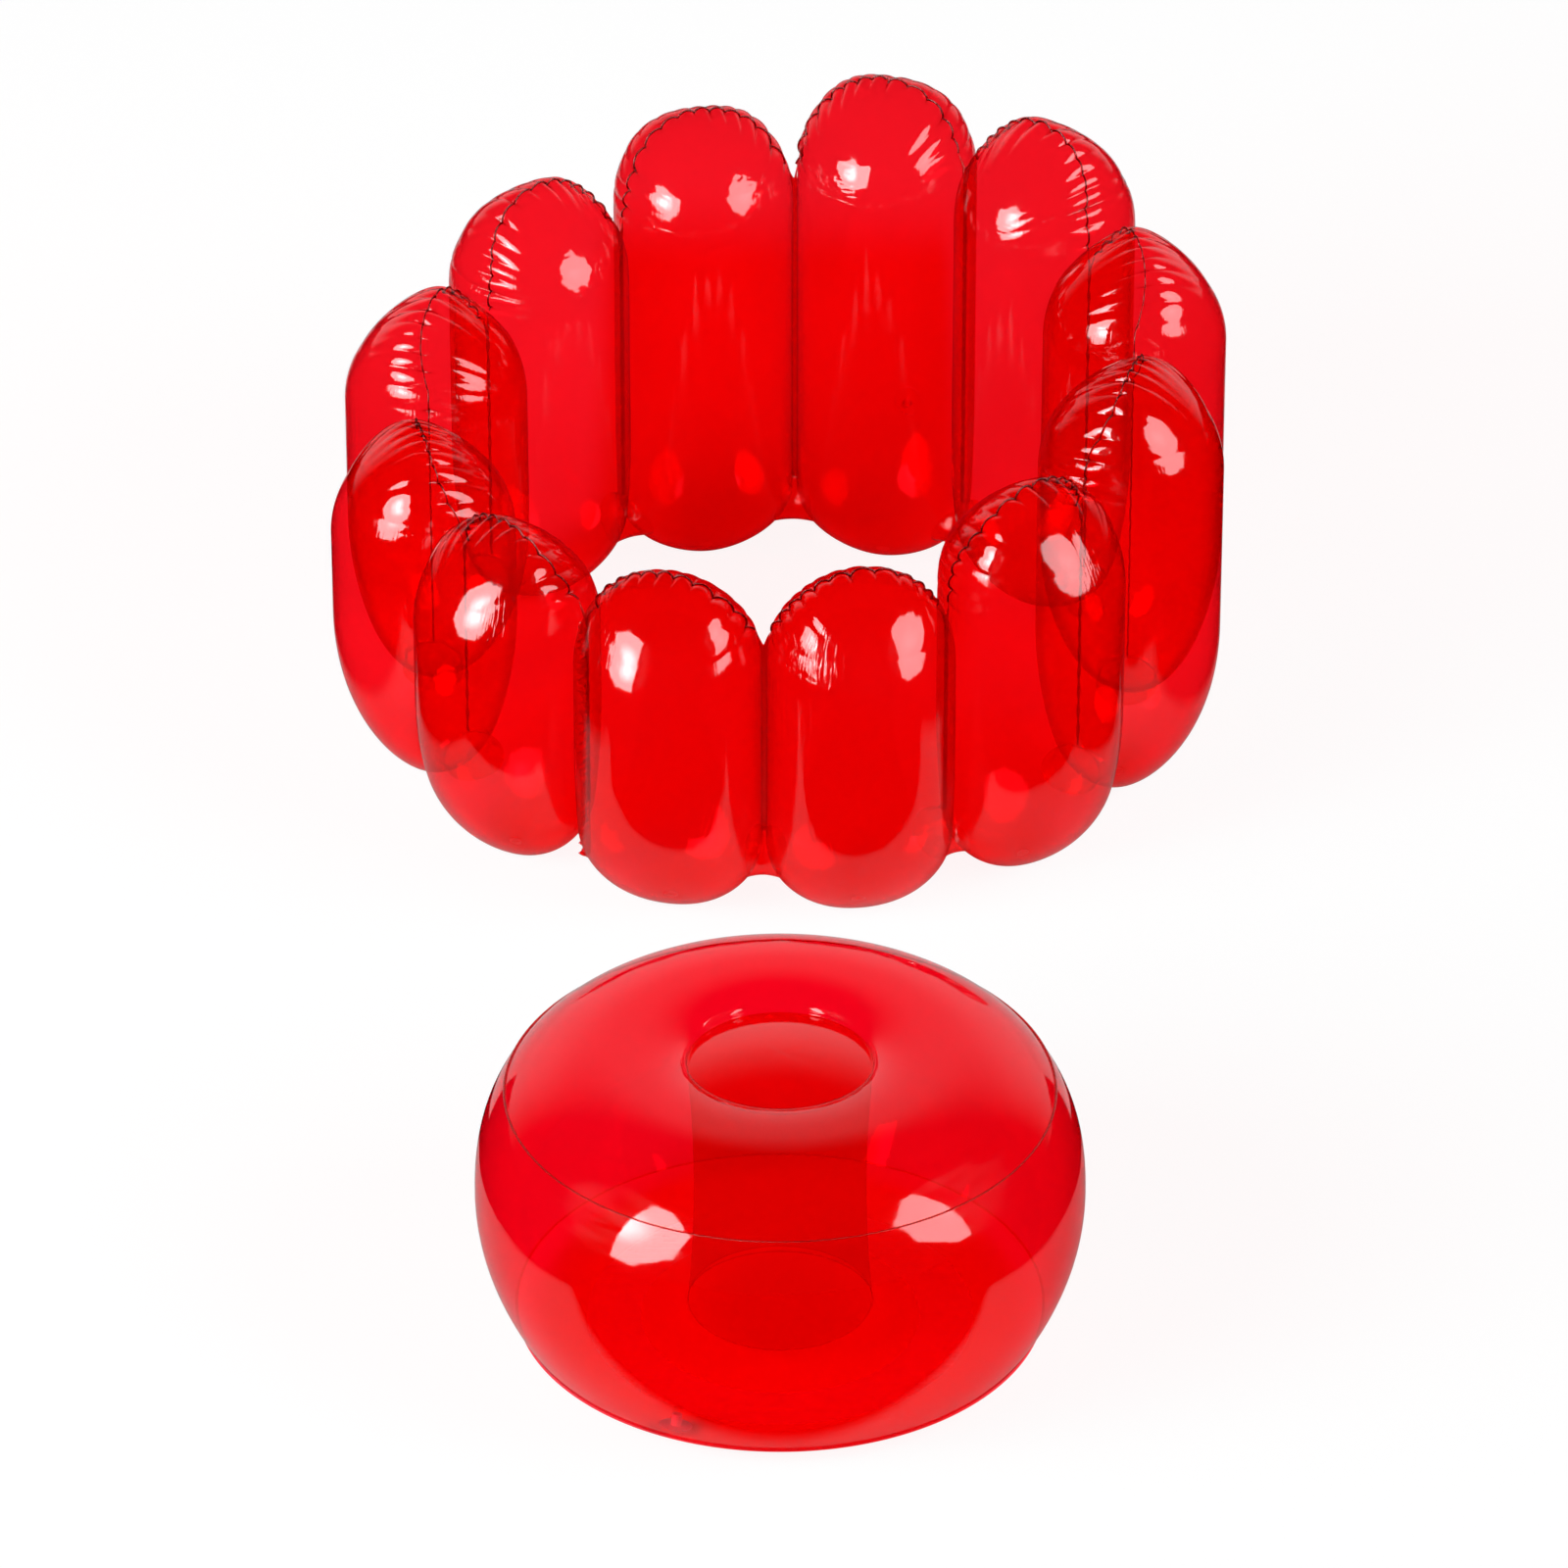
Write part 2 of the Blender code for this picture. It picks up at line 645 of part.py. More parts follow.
def frame_on(point, normal):
    """Frame at a point with +Z along the outward normal."""
    turn = normal.to_track_quat("Z", "Y").to_matrix().to_4x4()
    return Matrix.Translation(point) @ turn


def ring_valve_frame():
    """Middle of the outermost flat side of the valve's tube, low on the ring's back."""
    length = tube_height(VALVE_TUBE) + FOOT_CUT
    low = tube_section(PASSAGE_HIGH_SHARE * TUBE_RADIUS, length)
    high = tube_section(LOW_SWELL_SHARE * TUBE_RADIUS, length)
    side = OUTER_SIDES // 2
    corners = [low[side], low[side + 1], high[side + 1], high[side]]
    place = on_ring(tube_angle(VALVE_TUBE))
    corners = [place @ corner for corner in corners]
    middle = sum(corners, Vector()) / 4
    normal = (corners[1] - corners[0]).cross(corners[3] - corners[0]).normalized()
    return frame_on(middle, normal)


def seat_valve_frame():
    """Middle of one flat facet of the bottom sheet, towards the front."""
    step = 2 * math.pi / SEAT_SIDES
    corners = []
    inner, outer = valve_band()
    for radius, angle in ((inner, 0), (inner, step), (outer, step), (outer, 0)):
        height = Vector((0, 0, bottom_height(radius)))
        corners.append(SEAT_CENTRE + plan(radius, angle) + height)
    middle = sum(corners, Vector()) / 4
    normal = (corners[1] - corners[0]).cross(corners[3] - corners[0]).normalized()
    if normal.z > 0:
        normal.negate()
    return frame_on(middle, normal)


def valve_body(shape):
    """Flange on the film with its stem pushed in through the hole."""
    top = CLEARANCE + VALVE_FLANGE
    end = top - VALVE_STEM_LENGTH
    profile = [(VALVE_BORE_RADIUS, end), (VALVE_STEM_RADIUS, end), (VALVE_STEM_RADIUS, CLEARANCE),
               (VALVE_FLANGE_RADIUS, CLEARANCE), (VALVE_FLANGE_RADIUS, top - VALVE_FLANGE / 2),
               (VALVE_FLANGE_RADIUS - VALVE_FLANGE, top), (VALVE_BORE_RADIUS, top)]
    turned(shape, profile, VALVE_SIDES, ends_meet=True)


def valve_stopper(shape):
    """Tapered shank, round head and a small tab to pull it by."""
    seat = CLEARANCE + VALVE_FLANGE + CLEARANCE
    shank = VALVE_BORE_RADIUS - STOPPER_CLEARANCE
    tip = seat - STOPPER_SHANK_LENGTH
    profile = [(0.0, tip), (shank - STOPPER_TAPER, tip),
               (shank, seat - STOPPER_SHANK_LENGTH / 2), (shank, seat),
               (STOPPER_HEAD_RADIUS, seat), (STOPPER_HEAD_RADIUS, seat + STOPPER_HEAD / 2),
               (STOPPER_HEAD_RADIUS - STOPPER_TAPER, seat + STOPPER_HEAD), (0.0, seat + STOPPER_HEAD)]
    turned(shape, profile, VALVE_SIDES, start_pole=True, end_pole=True)


def pull_tab(shape):
    """Flat tab beside the stopper's head."""
    low = CLEARANCE + VALVE_FLANGE + CLEARANCE
    start = STOPPER_HEAD_RADIUS - STOPPER_TAPER
    end = STOPPER_HEAD_RADIUS + PULL_TAB_LENGTH
    size = (end - start, PULL_TAB_WIDTH, STOPPER_HEAD / 2)
    place = Matrix.Translation(((start + end) / 2, 0, low + size[2] / 2))
    bmesh.ops.create_cube(shape, size=1, matrix=place @ Matrix.Diagonal((*size, 1)))


def valve_flap(shape):
    """Thin disc against the stem's inner mouth, which the air inside holds shut."""
    high = CLEARANCE + VALVE_FLANGE - VALVE_STEM_LENGTH - CLEARANCE
    profile = [(0.0, high - FLAP_THICKNESS), (FLAP_RADIUS, high - FLAP_THICKNESS),
               (FLAP_RADIUS, high), (0.0, high)]
    turned(shape, profile, VALVE_SIDES, start_pole=True, end_pole=True)


def cutter(name, maker, place):
    tool = add_object(name, maker, make_material(name, (1, 1, 1), 1), place)
    tool.hide_render = True
    tool.display_type = "WIRE"
    return tool


def stem_hole(shape):
    radius = VALVE_STEM_RADIUS + CLEARANCE
    bmesh.ops.create_cone(shape, cap_ends=True, segments=VALVE_SIDES, radius1=radius,
                          radius2=radius, depth=2 * OVERRUN)


def cut(thing, tool):
    hole = thing.modifiers.new("cut_" + tool.name, "BOOLEAN")
    hole.operation = "DIFFERENCE"
    hole.solver = "EXACT"
    hole.object = tool


def join(thing, tool):
    union = thing.modifiers.new("join_" + tool.name, "BOOLEAN")
    union.operation = "UNION"
    union.solver = "EXACT"
    union.object = tool


def show(title, vector):
    print(title, [round(value, 5) for value in vector])


def make_valve(name, frame, film, paints, body):
    paint = paints["valve"]
    cut(film, cutter(name + "_hole", stem_hole, frame))
    add_object(name + "_valve_body", valve_body, paint, frame, body)
    travel = add_empty(name + "_stopper_slide", frame, body)
    stopper = add_object(name + "_valve_stopper", valve_stopper, paint, frame, travel)
    join(stopper, cutter(name + "_pull_tab", pull_tab, frame))
    mouth = CLEARANCE + VALVE_FLANGE - VALVE_STEM_LENGTH - CLEARANCE
    edge = frame @ Matrix.Translation((FLAP_RADIUS, 0, mouth))
    hinge = add_empty(name + "_flap_hinge", edge, body)
    add_object(name + "_valve_flap", valve_flap, paint, frame, hinge)
    show(name + " valve", frame.translation)
    show(name + " stopper slides along", frame.col[2].xyz)
    show(name + " flap hinge", edge.translation)
    show(name + " flap turns about", -frame.col[1].xyz)


def main():
    clear_scene()
    paints = materials()
    ring = add_empty("ring", Matrix.Translation(RING_CENTRE))
    seat = add_empty("seat", at_seat())
    tubes = make_tubes(paints, ring)
    make_passages(paints, ring)
    make_welds(paints, ring)
    make_outline_weld(paints, ring)
    bottom = make_seat(paints, seat)
    make_valve("ring", ring_valve_frame(), tubes[VALVE_TUBE - 1], paints, ring)
    make_valve("seat", seat_valve_frame(), bottom, paints, seat)
    show("ring centre", RING_CENTRE)
    show("seat centre", SEAT_CENTRE)


main()
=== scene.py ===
# %% [markdown]
# # An inflatable chair of clear red film
#
# The chair is two air cushions: a ring of twelve upright tubes, and a round seat with a column
# inside it. Both are thin clear film held out by air, so nearly all of their look comes from three
# things: how many layers of film the eye looks through, what the gloss mirrors, and the small
# gathers where the film is welded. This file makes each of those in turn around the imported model.

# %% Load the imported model
import math

import bpy
import numpy as np
from mathutils import Matrix, Vector


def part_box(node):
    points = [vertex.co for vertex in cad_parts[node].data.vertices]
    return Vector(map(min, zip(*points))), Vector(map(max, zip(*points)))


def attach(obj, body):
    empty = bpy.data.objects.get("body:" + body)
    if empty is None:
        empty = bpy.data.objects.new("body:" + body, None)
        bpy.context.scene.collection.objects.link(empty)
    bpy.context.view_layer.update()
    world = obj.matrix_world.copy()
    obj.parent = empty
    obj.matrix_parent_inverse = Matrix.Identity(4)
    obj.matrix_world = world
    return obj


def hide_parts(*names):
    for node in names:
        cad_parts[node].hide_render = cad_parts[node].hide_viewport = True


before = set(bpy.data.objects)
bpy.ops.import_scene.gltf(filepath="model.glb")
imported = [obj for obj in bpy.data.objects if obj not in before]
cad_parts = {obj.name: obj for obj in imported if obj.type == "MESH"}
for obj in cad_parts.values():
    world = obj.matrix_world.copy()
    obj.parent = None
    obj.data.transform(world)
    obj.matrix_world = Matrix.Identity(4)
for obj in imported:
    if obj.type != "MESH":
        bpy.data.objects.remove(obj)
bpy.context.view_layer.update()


# %% [markdown]
# ## Where the two cushions stand
#
# A scene that is built around a fixed model repeats that model's driving sizes and works the rest
# out from them. When a size changes, it then changes in one place. The first ones say where things
# stand: the seat's middle is read from the model, and the ring stands behind it.

# %% Centres of the ring and the seat
STAND_DISTANCE, STAND_ANGLE = 1.240, math.radians(32.5)


def plan(radius, angle):
    """Point on the floor at an angle from -Y towards +X."""
    return Vector((radius * math.sin(angle), -radius * math.cos(angle), 0))


seat_low, seat_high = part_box("seat_side_band")
SEAT_CENTRE = Vector([(low + high) / 2 for low, high in zip(seat_low[:2], seat_high[:2])] + [0])
RING_CENTRE = SEAT_CENTRE - plan(STAND_DISTANCE, STAND_ANGLE)
print("ring centre", RING_CENTRE, "seat centre", SEAT_CENTRE)

# %% [markdown]
# ## Camera
#
# The photograph looks down on the chair by about thirty degrees, and its upright lines stay nearly
# parallel. A long lens at a long distance gives the same here. The camera is aimed a little below
# the ring, so that the seat in front of it is in the frame without any lens shift.

# %% Camera
PHOTO_SIDE, FOCAL_PIXELS, SENSOR = 1600, 10440, 36.0
VIEW_TURN, VIEW_DIP = math.radians(32.5), math.radians(31.0)
VIEW_DISTANCE, VIEW_REACH = 12.0, 100
RING_ABOVE_MIDDLE, RING_LEFT_OF_MIDDLE = 69, 4
MOST_FILMS = 64


def make_camera():
    away = Vector((math.sin(VIEW_TURN) * math.cos(VIEW_DIP),
                   -math.cos(VIEW_TURN) * math.cos(VIEW_DIP), math.sin(VIEW_DIP)))
    right = Vector((math.cos(VIEW_TURN), math.sin(VIEW_TURN), 0))
    up = right.cross(-away)
    aim = -away * FOCAL_PIXELS - up * RING_ABOVE_MIDDLE + right * RING_LEFT_OF_MIDDLE
    data = bpy.data.cameras.new("photo_camera")
    data.sensor_width = SENSOR
    data.lens = FOCAL_PIXELS / PHOTO_SIDE * SENSOR
    data.clip_end = VIEW_REACH
    camera = bpy.data.objects.new("photo_camera", data)
    camera.location = RING_CENTRE + away * VIEW_DISTANCE
    camera.rotation_euler = aim.to_track_quat("-Z", "Y").to_euler()
    bpy.context.scene.collection.objects.link(camera)
    bpy.context.scene.camera = camera
    return camera


camera = make_camera()
bpy.context.scene.view_settings.view_transform = "Standard"
bpy.context.scene.cycles.transparent_max_bounces = MOST_FILMS
print("lens", round(camera.data.lens, 1), "mm")

# %% [markdown]
# ## Helpers for nodes and meshes
#
# A material in Blender is a tree of nodes, and each input of a node takes a plain value or another
# node's output. A few small helpers keep the trees below short: they add a node and feed it, do one
# sum, blend softly from one value to another, and mix two shaders.

# %% Node helpers
def feed(tree, slot, value):
    """Link an output to an input, or give the input a plain value."""
    if isinstance(value, bpy.types.NodeSocket):
        tree.links.new(value, slot)
    else:
        slot.default_value = value


def add_node(tree, kind, settings=None, **inputs):
    """A node with its settings and its fed inputs; spaces in input names are underscores."""
    node = tree.nodes.new(kind)
    for name, value in (settings or {}).items():
        setattr(node, name, value)
    for name, value in inputs.items():
        feed(tree, node.inputs[name.replace("_", " ")], value)
    return node


def maths(tree, operation, *terms, kind="ShaderNodeMath", result="Value"):
    """The result of one sum; each term is a plain value or an output."""
    node = add_node(tree, kind, {"operation": operation})
    for slot, term in zip(node.inputs, terms):
        feed(tree, slot, term)
    return node.outputs[result]


def vector_maths(tree, operation, *terms, result="Value"):
    return maths(tree, operation, *terms, kind="ShaderNodeVectorMath", result=result)


def smooth_step(tree, value, start, end, low=0.0, high=1.0):
    """Low up to the start and high from the end on, with a soft run between them."""
    ramp = add_node(tree, "ShaderNodeMapRange", {"interpolation_type": "SMOOTHSTEP"}, Value=value,
                    From_Min=start, From_Max=end, To_Min=low, To_Max=high)
    return ramp.outputs[0]


def mixed(tree, share, first, second):
    """The first shader, replaced by a share of the second."""
    mix = add_node(tree, "ShaderNodeMixShader", None, Fac=share)
    tree.links.new(first, mix.inputs[1])
    tree.links.new(second, mix.inputs[2])
    return mix.outputs[0]


def new_material(name):
    material = bpy.data.materials.new(name)
    material.use_nodes = True
    material.node_tree.nodes.clear()
    return material, material.node_tree


def glow(tree, strength):
    return add_node(tree, "ShaderNodeEmission", None, Strength=strength).outputs[0]


def show(tree, shader, kind="ShaderNodeOutputMaterial"):
    """Make a shader the one that the tree shows."""
    add_node(tree, kind, None, Surface=shader)


def add_mesh(name, points, faces, material):
    mesh = bpy.data.meshes.new(name)
    mesh.from_pydata([tuple(point) for point in points], [], [tuple(face) for face in faces])
    mesh.materials.append(material)
    mesh.update()
    thing = bpy.data.objects.new(name, mesh)
    bpy.context.scene.collection.objects.link(thing)
    return thing


print("helpers ready")

# %% [markdown]
# ## Softboxes
#
# Two large eight-sided softboxes stand at both sides of the camera. They make the pale many-sided
# spots that every tube and the seat mirror once each. A lamp's mirror image is as plain as its
# shape, so each one is a flat mesh that gives off light and is brighter in its middle.

# %% Softboxes
SOFTBOX_RADIUS, SOFTBOX_DISTANCE, SOFTBOX_SIDES = 1.95, 4.6, 8
SOFTBOX_CORE = 0.6 * SOFTBOX_RADIUS
AIM_HEIGHT = 0.2
# Turn from the camera and rise in degrees, then the brightness in the middle and at the edge
SOFTBOX_PLACES = {"softbox_left": (-56, 25, 22.0, 8.0), "softbox_right": (68, 30, 6.3, 5.2)}


def softbox_material(name, middle, edge):
    material, tree = new_material(name + "_cloth")
    place = add_node(tree, "ShaderNodeTexCoord").outputs["Object"]
    length = vector_maths(tree, "LENGTH", place)
    show(tree, glow(tree, smooth_step(tree, length, 0.0, SOFTBOX_CORE, middle, edge)))
    return material


def make_softbox(name, turn, rise, brightest, edge):
    turn, rise = VIEW_TURN + math.radians(turn), math.radians(rise)
    middle = (RING_CENTRE + SEAT_CENTRE) / 2
    place = middle + plan(SOFTBOX_DISTANCE * math.cos(rise), turn)
    place.z = SOFTBOX_DISTANCE * math.sin(rise)
    angles = [math.pi * (2 * k + 1) / SOFTBOX_SIDES for k in range(SOFTBOX_SIDES)]
    rim = [(SOFTBOX_RADIUS * math.cos(a), SOFTBOX_RADIUS * math.sin(a), 0) for a in angles]
    box = add_mesh(name, rim, [range(SOFTBOX_SIDES)], softbox_material(name, brightest, edge))
    aim = middle + Vector((0, 0, AIM_HEIGHT)) - place
    box.location = place
    box.rotation_euler = aim.to_track_quat("Z", "Y").to_euler()
    box.visible_camera = False
    return box


softboxes = [make_softbox(name, *values) for name, values in SOFTBOX_PLACES.items()]
print("softboxes", len(softboxes))

# %% [markdown]
# ## Cards for the gloss
#
# A studio shapes its reflections with cards. Two dark ones, called flags, stand by the seat and
# narrow the softboxes that it mirrors. A pale one stands between ring and seat with its face to the
# seat: the seat mirrors a pale table there, while the ring behind it mirrors a dark room. Only
# mirrors see these cards, so they throw no shadow and no light.

# %% Flags and bounce card
FLAG_DISTANCE, FLAG_WIDTH, FLAG_HEIGHT = 0.75, 0.56, 1.8
FLAG_TURNS = (-73, 82)
CARD_RUN, CARD_WIDTH, CARD_HEIGHT, CARD_WHITE = 0.72, 1.20, 0.32, 0.55
CARD_LIFT = 0.02


def card_material(name, brightness):
    """Pale on the card's face and black on its back."""
    material, tree = new_material(name)
    side = add_node(tree, "ShaderNodeNewGeometry").outputs["Backfacing"]
    face = maths(tree, "SUBTRACT", 1.0, side)
    show(tree, glow(tree, maths(tree, "MULTIPLY", face, brightness)))
    return material


def make_card(name, centre, run, turn, width, height, brightness):
    """An upright card that faces away from the centre that it stands by."""
    middle = centre + plan(run, turn)
    side, rise = plan(width / 2, turn + math.pi / 2), Vector((0, 0, height))
    rim = [middle - side, middle + side, middle + side + rise, middle - side + rise]
    card = add_mesh(name, rim, [range(4)], card_material(name, brightness))
    card.location.z = CARD_LIFT
    card.visible_camera = card.visible_shadow = False
    card.visible_diffuse = card.visible_transmission = False
    return card


cards = [make_card(f"flag_{number}", SEAT_CENTRE, FLAG_DISTANCE, VIEW_TURN + math.radians(turn),
                   FLAG_WIDTH, FLAG_HEIGHT, 0.0) for number, turn in enumerate(FLAG_TURNS, 1)]
cards.append(make_card("bounce_card", RING_CENTRE, CARD_RUN, VIEW_TURN, CARD_WIDTH, CARD_HEIGHT,
                       CARD_WHITE))
print("cards", [card.name for card in cards])

# %% [markdown]
# ## What the eye sees of the floor
#
# Past the film the eye sees a white floor with a hint of shadow. Through the film it sees the floor
# as the lamps light it, and close to a cushion that light has come through red film, which makes
# the lower half of every tube so deep. Behind the back tubes a red shadow is painted into that
# floor on top. The lamps don't light the floor evenly, so its white is evened out along the view.
# The tree tells the two apart by how many clear films a ray has crossed.

# %% The floor to the eye
SHADE_SHARE, EVEN_WHITE, EVEN_RUN = 0.10, (0.93, 2.45), (-1.2, 3.0)
LIT_FADE = (2.0, 3.0)
# Painted red shadow on the floor seen through film behind the back tubes: its place and how much
# light it takes away
PAINTED_SHADOW_HALF_WIDTH, PAINTED_SHADOW_SIDE_BLUR, PAINTED_SHADOW_RUN, PAINTED_SHADOW_BLUR = 0.22, 0.05, (0.15, 1.22), 0.25
PAINTED_SHADOW_LOSS_RED, PAINTED_SHADOW_LOSS_OTHER = 0.06, 0.94
FORWARDS, SIDEWAYS = plan(1, VIEW_TURN), plan(1, VIEW_TURN + math.pi / 2)


def edge_at(tree, value, place, blur, low=0.0, high=1.0):
    """Low before a place and high after it, with a soft edge."""
    return smooth_step(tree, value, place - blur / 2, place + blur / 2, low, high)


def between(tree, value, low, high, blur):
    """1 between two places, with soft ends."""
    return maths(tree, "MULTIPLY", edge_at(tree, value, low, blur),
                 edge_at(tree, value, high, blur, 1.0, 0.0))


def along(tree, place, direction, centre=Vector()):
    """How far a place lies in a direction from a centre."""
    ahead = vector_maths(tree, "DOT_PRODUCT", place, direction)
    return maths(tree, "SUBTRACT", ahead, centre.dot(direction))


def behind_film(tree, path):
    """1 for what is seen through at least one film."""
    return maths(tree, "GREATER_THAN", path.outputs["Transparent Depth"], 0.5)


def lit_floor(tree, colour):
    """The floor as the lamps light it."""
    return add_node(tree, "ShaderNodeBsdfDiffuse", None, Color=colour).outputs[0]


def red_floor(tree, red, other):
    """The lit floor with one brightness for red and one for green and blue."""
    colour = add_node(tree, "ShaderNodeCombineColor", None, Red=red, Green=other, Blue=other)
    return lit_floor(tree, colour.outputs[0])


def floor_with_painted_shadow(tree, place, behind, evened):
    """The floor seen through film, with a red shadow painted in behind the back tubes."""
    across = along(tree, place, SIDEWAYS, RING_CENTRE)
    painted_shadow = maths(tree, "MULTIPLY", between(tree, behind, *PAINTED_SHADOW_RUN, PAINTED_SHADOW_BLUR),
                  between(tree, across, -PAINTED_SHADOW_HALF_WIDTH, PAINTED_SHADOW_HALF_WIDTH, PAINTED_SHADOW_SIDE_BLUR))
    shares = []
    for loss in (PAINTED_SHADOW_LOSS_RED, PAINTED_SHADOW_LOSS_OTHER):
        kept = maths(tree, "SUBTRACT", 1.0, maths(tree, "MULTIPLY", painted_shadow, loss))
        shares.append(maths(tree, "MULTIPLY", evened, kept))
    return red_floor(tree, *shares)


def floor_to_eye(tree, place, path):
    white = glow(tree, 1.0)
    behind = maths(tree, "MULTIPLY", along(tree, place, FORWARDS, RING_CENTRE), -1.0)
    evened = smooth_step(tree, behind, *EVEN_RUN, *EVEN_WHITE)
    past_film = mixed(tree, SHADE_SHARE, white, lit_floor(tree, evened))
    far = smooth_step(tree, vector_maths(tree, "DISTANCE", place, RING_CENTRE), *LIT_FADE)
    through_film = mixed(tree, far, floor_with_painted_shadow(tree, place, behind, evened), white)
    return mixed(tree, behind_film(tree, path), past_film, through_film)


print("lit floor evened from", EVEN_WHITE[0], "to", EVEN_WHITE[1])

# %% [markdown]
# ## What the gloss sees of the floor
#
# A mirror in a dark studio shows only what is pale. Under each cushion the floor is painted white
# for mirror rays alone, a painted reflection of a white table, and its edges draw the crisp pale
# crescents low on the tubes and on the seat. Inside the ring the table is painted red, as painted
# shade for the light there, which falls through film. The seat's table is seen only from close by,
# so that the tubes don't mirror it.

# %% The floor in the gloss
# The tables are a painted reflection: the floor is white there only to mirror rays
FLOOR_WHITE, TABLE_WHITE = 0.69, 0.60
TABLE_HALF_WIDTH, TABLE_WIDENING, TABLE_WIDENS = 0.62, 0.30, (0.4, 1.2)
TABLE_SIDE_BLUR, RING_TABLE_BLUR, SEAT_TABLE_BLUR = 0.06, 0.02, 0.03
RING_TABLE_FRONT, SEAT_TABLE_FRONT, SEAT_TABLE_BACK = 0.58, 0.29, -0.36
SEAT_RAY, FAR_TABLE, FAR_TABLE_RAY = 0.45, 1.7, (0.45, 0.85)
# Painted red shade on the mirrored table inside the ring
WELL_RADIUS, WELL_BLUR, WELL_PAINTED_SHADE = 0.40, 0.16, 0.85


def painted_table_reflection(tree, place, path):
    """Where a mirror sees a painted white table, a painted reflection: one under the ring and one
    under the seat.
    """
    run = along(tree, place, FORWARDS, RING_CENTRE)
    across = along(tree, place, SIDEWAYS, RING_CENTRE)
    widening = smooth_step(tree, maths(tree, "MULTIPLY", run, -1.0), *TABLE_WIDENS, 0,
                           TABLE_WIDENING)
    inside = maths(tree, "SUBTRACT", maths(tree, "ABSOLUTE", across), widening)
    inside = edge_at(tree, inside, TABLE_HALF_WIDTH, TABLE_SIDE_BLUR, 1.0, 0.0)
    ring_table = edge_at(tree, run, RING_TABLE_FRONT, RING_TABLE_BLUR, 1.0, 0.0)
    seat_table = between(tree, run, STAND_DISTANCE + SEAT_TABLE_BACK,
                         STAND_DISTANCE + SEAT_TABLE_FRONT, SEAT_TABLE_BLUR)
    near = maths(tree, "LESS_THAN", path.outputs["Ray Length"], SEAT_RAY)
    seat_table = maths(tree, "MULTIPLY", seat_table, near)
    table = maths(tree, "MULTIPLY", maths(tree, "MAXIMUM", ring_table, seat_table), inside)
    white = FLOOR_WHITE * TABLE_WHITE
    further = smooth_step(tree, path.outputs["Ray Length"], *FAR_TABLE_RAY, white,
                          white * FAR_TABLE)
    return maths(tree, "MULTIPLY", table, further)


def floor_in_gloss(tree, place, path):
    """The painted tables, with painted red shade inside the ring."""
    table = painted_table_reflection(tree, place, path)
    away = vector_maths(tree, "DISTANCE", place, RING_CENTRE)
    paler = edge_at(tree, away, WELL_RADIUS, WELL_BLUR, 1 - WELL_PAINTED_SHADE, 1.0)
    return red_floor(tree, table, maths(tree, "MULTIPLY", paler, table))


print("table white in the gloss", round(FLOOR_WHITE * TABLE_WHITE, 3))

# %% [markdown]
# ## Floor and world
#
# Both need one material that answers each kind of ray in its own way, which the Light Path node
# does. The world is plain white to the eye. In the gloss it is a dark room with a pale backdrop
# that rises behind the chair and fades upwards.

# %% Floor and world
FLOOR_REACH = 12.0
BACKDROP_WHITE, BACKDROP_START, BACKDROP_TOP, ROOM_GREY = 0.64, (0.50, 0.85), (0.32, 0.82), 0.006


def floor_material():
    material, tree = new_material("studio_floor")
    path = add_node(tree, "ShaderNodeLightPath")
    place = add_node(tree, "ShaderNodeTexCoord").outputs["Object"]
    plain = mixed(tree, path.outputs["Is Camera Ray"], lit_floor(tree, (*[FLOOR_WHITE] * 3, 1)),
                  floor_to_eye(tree, place, path))
    show(tree, mixed(tree, path.outputs["Is Glossy Ray"], plain,
                     floor_in_gloss(tree, place, path)))
    return material


def make_floor():
    rim = [(x * FLOOR_REACH, y * FLOOR_REACH, 0) for x, y in ((-1, -1), (1, -1), (1, 1), (-1, 1))]
    floor = add_mesh("studio_floor", rim, [range(4)], floor_material())
    return floor


def make_world():
    world = bpy.data.worlds.new("studio")
    world.use_nodes = True
    tree = world.node_tree
    tree.nodes.clear()
    path = add_node(tree, "ShaderNodeLightPath")
    place = add_node(tree, "ShaderNodeTexCoord").outputs["Generated"]
    behind = smooth_step(tree, along(tree, place, -FORWARDS), *BACKDROP_START)
    above = along(tree, place, Vector((0, 0, 1)))
    backdrop = maths(tree, "MULTIPLY", behind,
                     smooth_step(tree, above, *BACKDROP_TOP, BACKDROP_WHITE, 0.0))
    room = maths(tree, "MAXIMUM", backdrop, ROOM_GREY)
    room = maths(tree, "MULTIPLY", room, path.outputs["Is Glossy Ray"])
    strength = maths(tree, "MAXIMUM", room, path.outputs["Is Camera Ray"])
    sky = add_node(tree, "ShaderNodeBackground", None, Color=(1, 1, 1, 1), Strength=strength)
    show(tree, sky.outputs[0], "ShaderNodeOutputWorld")
    bpy.context.scene.world = world
    return world


print("made", make_floor().name, "and world", make_world().name)

# %% [markdown]
# ## Ripples in the film
#
# Blown-up film is never quite smooth: it has faint waves and shallow pulled streaks. The same
# ripples serve every film, so they are one node group with named inputs, built once and placed in
# each material. It puts out a height for the bumps and a roughness for the gloss.

# %% Ripple group
STREAKS, WAVES = 40, 5
STREAK_SHARE = 0.25
STREAK_RANGE, ROUGHNESS_RANGE = (0.3, 0.7), (0.03, 0.09)


def new_group(kind, name, inputs, outputs):
    """A node tree with named inputs and outputs; also what comes in and what goes out."""
    tree = bpy.data.node_groups.new(name, kind)
    for in_out, sockets in (("INPUT", inputs), ("OUTPUT", outputs)):
        for label, what in sockets.items():
            tree.interface.new_socket(label, in_out=in_out, socket_type="NodeSocket" + what)
    return tree, add_node(tree, "NodeGroupInput").outputs, add_node(tree, "NodeGroupOutput").inputs


